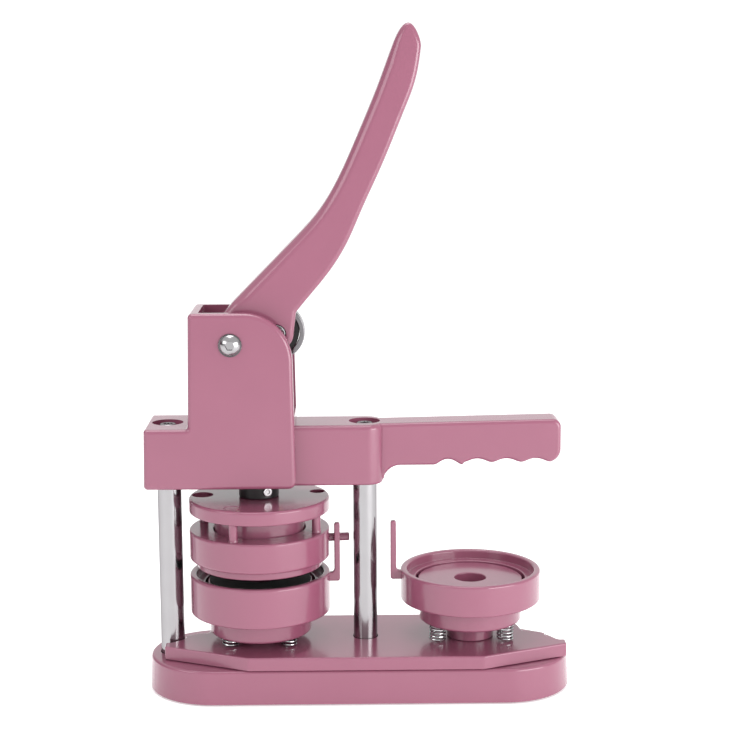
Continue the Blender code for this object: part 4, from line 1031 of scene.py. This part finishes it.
def make_disc():
    disc = turned("top_press_disc", rounded([
        (DIE, DISC_TOP, 0.0014), (DIE, DISC_LOW, 0.0011), (SCREW + GAP, DISC_LOW, 0),
        (SCREW + GAP, DISC_TOP, 0)]), (LEFT_DIE, 0, 0), closed=True, sides=144)
    tools = []
    for circle, angle, radius in DISC_HOLES:
        x, y = polar(circle, angle)
        tools.append(drum(radius, DISC_LOW - 0.002, DISC_TOP + 0.002, (LEFT_DIE + x, y, 0), sides=48))
    mark = [(MARK_RADIUS - 0.0005, DISC_TOP - 0.00025), (MARK_RADIUS + 0.0005, DISC_TOP - 0.00025),
            (MARK_RADIUS + 0.0007, DISC_TOP + 0.001), (MARK_RADIUS - 0.0007, DISC_TOP + 0.001)]
    tools.append(turned("mark", mark, (LEFT_DIE + MARK_PLACE[0], MARK_PLACE[1], 0), sides=48, closed=True))
    cut(disc, *tools)

    def on_hole(point):
        return any(math.dist((point.x - LEFT_DIE, point.y), polar(circle, angle)) < radius + 0.0002
                   for circle, angle, radius in DISC_HOLES) and point.z > DISC_TOP - 0.0001
    soften(disc, 0.00035, on_hole, steps=2)
    return fit(disc, "ram", "pink_plastic", "press_disc")


def make_inner_die():
    low, high = bottom_of("inner_die"), top_of("inner_die")
    pad = span("inner_die").x / 2
    neck, way = 0.0249, 0.0055
    die = turned("inner_upper_die", rounded([
        (neck, high, 0.0006), (neck, DECK + 0.0520, 0.0006), (pad, DECK + 0.0520, 0.0005),
        (pad, low, 0.0008), (way, low, 0.0004), (way, low + 0.0060, 0), (SCREW + GAP, low + 0.0060, 0),
        (SCREW + GAP, high, 0)]), (LEFT_DIE, 0, 0), closed=True, sides=128)
    return fit(die, "ram", "pink_plastic", "inner_die")


def make_set_screw():
    out = Vector((*polar(1, -63.0), 0))
    root = Vector((LEFT_DIE, 0, middle("ram_set_screw").z)) + (RAM + GAP) * out
    profile = [(0, 0.0002, 0), (0.0010, 0.0002, 0), (0.0012, 0.0008, 0.0001), (0.0026, 0.0008, 0.0004),
               (0.0026, 0, 0.0001), (0, 0, 0)]
    screw = turned("ram_screw", rounded(profile, closed=False, steps=4), root, "chrome", sides=40,
                   along=out)
    return fit(screw, "ram", "chrome", "ram_set_screw")


make_shaft()
make_ram_cap()
make_disc()
make_inner_die()
make_set_screw()

# %% Return spring
make_springs("return_spring", "frame", ["ram_return_spring"], 0.0, 0, RETURN_COIL,
             LEFT_DIE)


# %% [markdown]
# ## The upper body
# Block, tower, arm and finger grip are one moulding, and its side view tells most of it. Three
# slabs make it: the block with its tower, the arm seen from above, and the grip with its finger
# scallops. A union joins them, and the well for the lever, its mouth and the bores are cut after.
# The rims are rounded by about two millimetres, where a hand would brush against them.

# %% Outlines of the upper body
ARM_LOW, ARM_TOP = DECK + 0.0893, DECK + 0.1224
TOWER_TOP = top_of("upper_body")
TOWER_LEFT, TOWER_RIGHT = LEFT_DIE - 0.0365, LEFT_DIE + 0.0212
TOWER_TAPER, TOWER_CORNER = 0.0012, 0.0262
BLOCK_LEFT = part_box("upper_body")[0][0]
BLOCK_HALF = span("upper_body").y / 2
SLOT_HALF, MOUTH_SILL, WELL_FLOOR = 0.0170, DECK + 0.1280, DECK + 0.1120
ARM_HALF, ARM_CORNER, BOSS_END = 0.0150, 0.0090, CENTER_POST + 0.0100
GRIP_HALF, GRIP_END, GRIP_TOP = 0.0098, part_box("upper_body")[1][0], ARM_TOP + 0.0018
GRIP_FLAT = ARM_LOW + 0.0099
GROOVE_FIRST, GROOVE_PITCH, GROOVE_COUNT = CENTER_POST + 0.0454, 0.0160, 4
GROOVE_DEPTH, GROOVE_LIFT = 0.0034, 0.0012
COUNTERBORE, COUNTERBORE_DEPTH = 0.0085, 0.0035
BOLT = 0.0040
BUSH = span("ram_bush").x / 2


def tower_line():
    shoulder = TOWER_RIGHT - TOWER_TAPER
    centre = (shoulder - TOWER_CORNER, TOWER_TOP - TOWER_CORNER)
    crown = [(*p, 0) for p in arc(centre, TOWER_CORNER, 0, 90, 20)]
    return rounded([(BLOCK_LEFT, ARM_LOW, 0.0022), (TOWER_RIGHT, ARM_LOW, 0.0042), *crown,
                    (TOWER_LEFT + TOWER_TAPER, TOWER_TOP, 0.0024), (TOWER_LEFT, ARM_TOP, 0.0016),
                    (BLOCK_LEFT + 0.0006, ARM_TOP, 0.0016)])


def scallop(centre, rim, first):
    """One finger groove: a wave whose crest is fuller than its foot."""
    rise = GRIP_FLAT + GROOVE_DEPTH - rim
    line = []
    for k in range(17):
        t = math.tau * k / 16
        wave = 0.5 * (1 - math.cos(t)) + 0.05 * (1 - math.cos(2 * t))
        line.append((centre + GROOVE_PITCH * (k / 16 - 0.5), rim + rise * wave * 0.92))
    return line if first else line[1:]


def grip_line():
    start = BOSS_END - 0.002
    throat, heel, corner = 0.0095, 0.0075, 0.0045
    line = [(start, ARM_TOP + 0.0001), (start, ARM_LOW + 0.0006)]
    line += arc((BOSS_END + throat, GRIP_FLAT - throat), throat, 168, 90, 10)
    for number in range(GROOVE_COUNT):
        rim = GRIP_FLAT + GROOVE_LIFT * (number > 0)
        line += scallop(GROOVE_FIRST + number * GROOVE_PITCH, rim, number == 0)
    line += arc((GRIP_END - heel, GRIP_FLAT + 0.0085), heel, -65, 0, 8)
    line += arc((GRIP_END - corner, GRIP_TOP - corner), corner, 0, 90, 8)
    return line


def arm_line():
    left = TOWER_RIGHT - 0.004
    inset = ARM_HALF - ARM_CORNER
    return [(left, ARM_HALF), (left, -ARM_HALF),
            *arc((BOSS_END - ARM_CORNER, -inset), ARM_CORNER, -90, 0, 12),
            *arc((BOSS_END - ARM_CORNER, inset), ARM_CORNER, 0, 90, 12)]


# %% Upper body
def make_upper_body():
    body = slab("upper_moulding", tower_line(), -BLOCK_HALF, BLOCK_HALF, (0.0024, 0.0024), upright=True,
                steps=6)
    beam = slab("beam", arm_line(), ARM_LOW + 0.0002, ARM_TOP + 0.0002, (0.0016, 0.0026), steps=6)
    grip = slab("grip", grip_line(), -GRIP_HALF, GRIP_HALF, (0.0021, 0.0021), upright=True, steps=6)
    join(body, beam, grip)
    well_left, well_right = TOWER_LEFT + 0.0065, TOWER_RIGHT - 0.0065
    tools = [block((well_left, -SLOT_HALF, WELL_FLOOR), (well_right, SLOT_HALF, TOWER_TOP + 0.004)),
             block((well_left + 0.002, -SLOT_HALF + 0.0002, MOUTH_SILL),
                   (TOWER_RIGHT + 0.006, SLOT_HALF - 0.0002, TOWER_TOP + 0.006))]
    post_top = top_of("left_post")
    for x in (LEFT_POST, CENTER_POST):
        tools.append(drum(POST + GAP, ARM_LOW - 0.003, post_top + GAP, (x, 0, 0), sides=96))
        tools.append(drum(SCREW + GAP, post_top - 0.002, ARM_TOP + 0.003, (x, 0, 0), sides=32))
        tools.append(drum(COUNTERBORE, ARM_TOP - COUNTERBORE_DEPTH, ARM_TOP + 0.003, (x, 0, 0), sides=80))
    tools.append(drum(BUSH + GAP, ARM_LOW - 0.003, WELL_FLOOR + 0.003, (LEFT_DIE, 0, 0), sides=80))
    past = BLOCK_HALF + 0.004
    tools.append(drum(BOLT + GAP, -past, past, PIVOT, along=LYING, sides=48))
    cut(body, *tools)

    def on_rim(point):
        posts = min(abs(point.x - x) for x in (LEFT_POST, CENTER_POST))
        bored = posts < COUNTERBORE + 0.0004 and point.z > ARM_TOP - 0.0002
        below = posts < POST + 0.0008 and point.z < ARM_LOW + 0.0004
        mouth = point.z > MOUTH_SILL - 0.0002 and abs(point.y) < SLOT_HALF + 0.0005
        return (bored and abs(point.y) < COUNTERBORE + 0.0004) or below or mouth
    soften(body, 0.0005, on_rim, sharpest=50)
    return fit(body, "frame", "pink_plastic", "upper_body")


make_upper_body()

# %% [markdown]
# The lever swings on a button-head bolt with a plain hexagon nut behind the tower. Head and nut are
# both turned shapes: the head is a low dome with a hexagon socket, and the nut is a hexagon whose
# corners a cone has cut.

# %% Pivot bolt and nut
FACE = BLOCK_HALF + GAP
HEAD, HEAD_HEIGHT, DOME_DROP = 0.0062, 0.0034, 0.0035
NUT = span("pivot_nut").x / 2
NUT_HEIGHT = span("pivot_nut").y


def make_bolt():
    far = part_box("pivot_bolt")[1][1]
    dome = [(a, b) for a, b in arc((0, FACE - DOME_DROP), HEAD_HEIGHT + DOME_DROP, 90, 33, 14) if a < HEAD]
    profile = [*dome, (HEAD, FACE + 0.0006), (HEAD, FACE), (BOLT, FACE), (BOLT, far - 0.0005),
               (BOLT - 0.0005, far), (0, far)]
    line = [(a, -b if i < len(dome) + 3 else b) for i, (a, b) in enumerate(profile)]
    bolt = turned("lever_bolt", line, PIVOT, "chrome", sides=72, along=LYING)
    reach = -(FACE + HEAD_HEIGHT)
    cut(bolt, drum(0.0026, reach - 0.001, reach + 0.0020, PIVOT, along=LYING, sides=6))
    return fit(bolt, "frame", "chrome", "pivot_bolt")


def make_nut():
    nut = drum(NUT, FACE, FACE + NUT_HEIGHT, PIVOT, along=LYING, sides=6)
    nut.name = "lever_nut"
    wide, top = NUT + 0.0012, FACE + NUT_HEIGHT
    cone = turned("cone", [(0, FACE - 0.001), (wide, FACE - 0.001), (wide, top - 0.0014),
                           (NUT - 0.0012, top), (0, top + 0.0003)], PIVOT, along=LYING, sides=64)
    combine(nut, "INTERSECT", [cone])
    cut(nut, drum(BOLT + GAP, FACE - 0.002, FACE + NUT_HEIGHT + 0.002, PIVOT, along=LYING, sides=48))
    nut.data.materials.clear()
    nut.data.materials.append(FINISHES["bright_steel"])
    return fit(nut, "frame", "bright_steel", "pivot_nut")


make_bolt()
make_nut()

# %% [markdown]
# ## The lever
# The lever's outline is measured from its pivot: a long gently bowed back, a blunt pointed tip and
# a finger side that curves down to the fork. Its section isn't even. The back is rounded almost to
# the middle so that a palm can push on it, and the finger side is only eased. A slab whose rim
# changes from point to point makes that in one piece. The fork is left by cutting the roller's well.

# %% Lever
LEVER_BACK = ((0.0010, 0.0215), (0.0345, 0.0555), (0.0475, 0.0694), (0.0571, 0.0853),
              (0.0636, 0.0991), (0.0785, 0.1337), (0.0849, 0.1512), (0.0895, 0.1622))
LEVER_TIP = ((0.0930, 0.1671), (0.0964, 0.1677), (0.0997, 0.1637))
LEVER_FRONT = ((0.1020, 0.1560), (0.1008, 0.1455), (0.0983, 0.1345), (0.0935, 0.1240),
               (0.0876, 0.1090), (0.0792, 0.0893), (0.0707, 0.0716), (0.0643, 0.0560),
               (0.0579, 0.0444), (0.0494, 0.0328), (0.0408, 0.0232), (0.0349, 0.0158))
LEVER_HALF, RIM, BACK_RIM = 0.0120, 0.0026, 0.0030
HUB, BOSS_RADIUS, FORK = 0.0130, 0.0085, 0.0092
ROLLER_RADIUS, ROLLER_WIDTH = span("bearing_outer_race").x / 2, span("bearing_outer_race").y
AXLE = span("roller_axle").x / 2


def eased(line, spacing, passes, held):
    """Points at even spacing along a line, then smoothed except near the held place."""
    even, left = [Vector(line[0])], spacing
    for start, end in zip(line, line[1:]):
        start, end = Vector(start), Vector(end)
        length = (end - start).length
        while length > left:
            even.append(start.lerp(end, left / length))
            left += spacing
        left -= length
    even.append(Vector(line[-1]))
    for _ in range(passes):
        middles = [(a + 2 * b + c) / 4 for a, b, c in zip(even, even[1:], even[2:])]
        for i, point in enumerate(middles, 1):
            if (even[i] - Vector(held)).length > 0.014:
                even[i] = point
    return even


def lever_line():
    """Outline points with each one's rim: wide on the back, narrow on the finger side."""
    line = eased(smooth_line([*LEVER_BACK, *LEVER_TIP, *LEVER_FRONT], 8), 0.0016, 44, LEVER_TIP[1])
    tip = min(range(len(line)), key=lambda i: (line[i] - Vector(LEVER_TIP[1])).length)
    points, rims = [], []
    for i, (x, z) in enumerate(line):
        points.append((PIVOT.x + x, PIVOT.z + z))
        if i < tip:
            share = min(1.0, (tip - i) / 16) * min(1.0, i / 8 + 0.45)
            rims.append(RIM + BACK_RIM * share)
        else:
            rims.append(RIM)
    fork = arc((ROLLER.x, ROLLER.z), FORK, 0, -95, 12)
    hub = arc((PIVOT.x, PIVOT.z), HUB, -75, -215, 22)
    points += fork + hub
    rims += [RIM] * (len(fork) + len(hub))
    return points, rims


def make_lever():
    points, rims = lever_line()
    lever = slab("press_lever", points, -LEVER_HALF, LEVER_HALF, (rims, rims), upright=True, steps=8)
    hub = SLOT_HALF - GAP
    boss = [(0, -hub, 0), (BOSS_RADIUS, -hub, 0.0006), (BOSS_RADIUS, hub, 0.0006), (0, hub, 0)]
    join(lever, turned("boss", rounded(boss, closed=False), PIVOT, along=LYING, sides=64))
    well = ROLLER_WIDTH / 2 + 0.0007
    cut(lever, drum(ROLLER_RADIUS + 0.0020, -well, well, ROLLER, LYING, 96),
        drum(BOLT + GAP, -hub - 0.002, hub + 0.002, PIVOT, LYING, 48),
        drum(AXLE + GAP, -hub, hub, ROLLER, LYING, 48))
    return fit(lever, "lever", "pink_plastic", "lever_handle")


make_lever()


# %% [markdown]
# A small sealed ball bearing is the roller: two races with eased corners and a black seal set a
# little in between them, on a plain axle.

# %% Roller
def make_roller():
    half = ROLLER_WIDTH / 2
    bore = ROLLER_RADIUS - 0.0027
    inner = AXLE + GAP
    inner_out = inner + 0.0018

    def tube(name, outer, hole, reach, round_out, finish, body, slot, node):
        profile = rounded([(outer, -reach, round_out), (outer, reach, round_out), (hole, reach, 0.0003),
                           (hole, -reach, 0.0003)], steps=4)
        made = turned(name, profile, ROLLER, finish, sides=96, closed=True, along=LYING)
        fit(made, body, slot, node)

    tube("roller_outer_race", ROLLER_RADIUS, bore, half, 0.0006, "dark_steel", "roller",
         "bright_steel", "bearing_outer_race")
    tube("roller_inner_race", inner_out, inner, half, 0.0003, "bright_steel", "lever",
         "bright_steel", "bearing_inner_race")
    tube("roller_seal", bore - GAP, inner_out + GAP, half - 0.0007, 0.0004, "black_rubber", "roller",
         "black_rubber", "bearing_seal")
    reach = span("roller_axle").y / 2
    axle = [(0, -reach, 0), (AXLE, -reach, 0.0006), (AXLE, reach, 0.0006), (0, reach, 0)]
    pin = turned("roller_pin", rounded(axle, closed=False, steps=3), ROLLER, "bright_steel", sides=64,
                 along=LYING)
    fit(pin, "lever", "bright_steel", "roller_axle")


make_roller()

# %% [markdown]
# ## Hidden pieces
# Seven pieces hardly show: the bush, the washer, and the screws that hold dies and posts from below.
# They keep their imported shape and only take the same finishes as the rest.

# %% Finishes of the pieces kept from the frame
KEPT = {"ram_bush": "bronze", "turntable_washer": "white_nylon", "stack_screw": "bright_steel",
        "left_platen_screw": "bright_steel", "right_platen_screw": "bright_steel",
        "left_post_foot_screw": "bright_steel", "center_post_foot_screw": "bright_steel"}
for node, finish in KEPT.items():
    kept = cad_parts[node]
    kept.data.materials.clear()
    kept.data.materials.append(FINISHES[finish])
print(len(KEPT), "packed pieces painted")


# %% [markdown]
# ## Studio
# A wide pale floor, a pale surround and large soft lights. The surround does most of the lighting,
# as a white sweep does in a studio, and the lights give the soft highlights on the rounded edges.
# The surround is a little dimmer at both sides, so that round shapes darken towards their edges.

# %% Floor, surround and lights
FLOOR_REACH = 12.0
SURROUND, LIGHT_SHARE, LEFT_DIM, RIGHT_DIM = 1.12, 0.84, 0.85, 0.45


def make_floor():
    bm = bmesh.new()
    bmesh.ops.create_grid(bm, x_segments=8, y_segments=8, size=FLOOR_REACH)
    floor = new_piece("floor", bm, "white_nylon")
    material = finish_of("floor", ((0.90, 0.90, 0.90), (0.93, 0.93, 0.93)), (0.55, 0.65), 0.0, 6.0,
                         200.0, 0.05, 0.0002, {"Emission Color": (1, 1, 1, 1), "Emission Strength": 0.35})
    floor.data.materials.clear()
    floor.data.materials.append(material)


def make_light(name, place, aim, size, power):
    data = bpy.data.lights.new(name, "AREA")
    data.shape = "RECTANGLE"
    data.size, data.size_y = size
    data.energy = power
    light = bpy.data.objects.new(name, data)
    light.matrix_world = (Matrix.Translation(place)
                          @ (Vector(aim) - Vector(place)).to_track_quat("-Z", "Y").to_matrix().to_4x4())
    bpy.context.scene.collection.objects.link(light)


def make_world(strength):
    """White where the camera sees it; in light and reflections a little dimmer at both sides."""
    world = bpy.data.worlds.new("surround")
    world.use_nodes = True
    tree = Tree(world.node_tree)
    where = tree.node("ShaderNodeTexCoord", output="Generated")
    across, rise = (tree.node("ShaderNodeSeparateXYZ", inputs={0: where}, output=axis) for axis in "XZ")
    low = 1 - (rise * 2.5 - 0.5).clamped()
    left = ((0 - across) * 2.2 - 0.7).clamped()
    right = (across * 4 - 3).clamped()
    around = strength * LIGHT_SHARE * (1 - left * low * LEFT_DIM) * (1 - right * low * RIGHT_DIM)
    seen = tree.node("ShaderNodeLightPath", output="Is Camera Ray")
    light = around + seen * (strength - around)
    shade = world.node_tree.nodes["Background"]
    shade.inputs["Color"].default_value = (1, 1, 1, 1)
    world.node_tree.links.new(light.socket, shade.inputs["Strength"])
    bpy.context.scene.world = world


make_floor()
make_world(SURROUND)
AIM = (0.0, 0.0, 0.15)
make_light("right_box", (0.86, -0.72, 0.30), AIM, (0.9, 0.6), 9.0)
make_light("left_box", (-0.88, -0.62, 0.56), AIM, (0.7, 0.45), 2.8)
make_light("top", (-0.1, 0.1, 1.3), AIM, (0.8, 0.8), 7.0)
bpy.context.scene.view_settings.view_transform = "Standard"
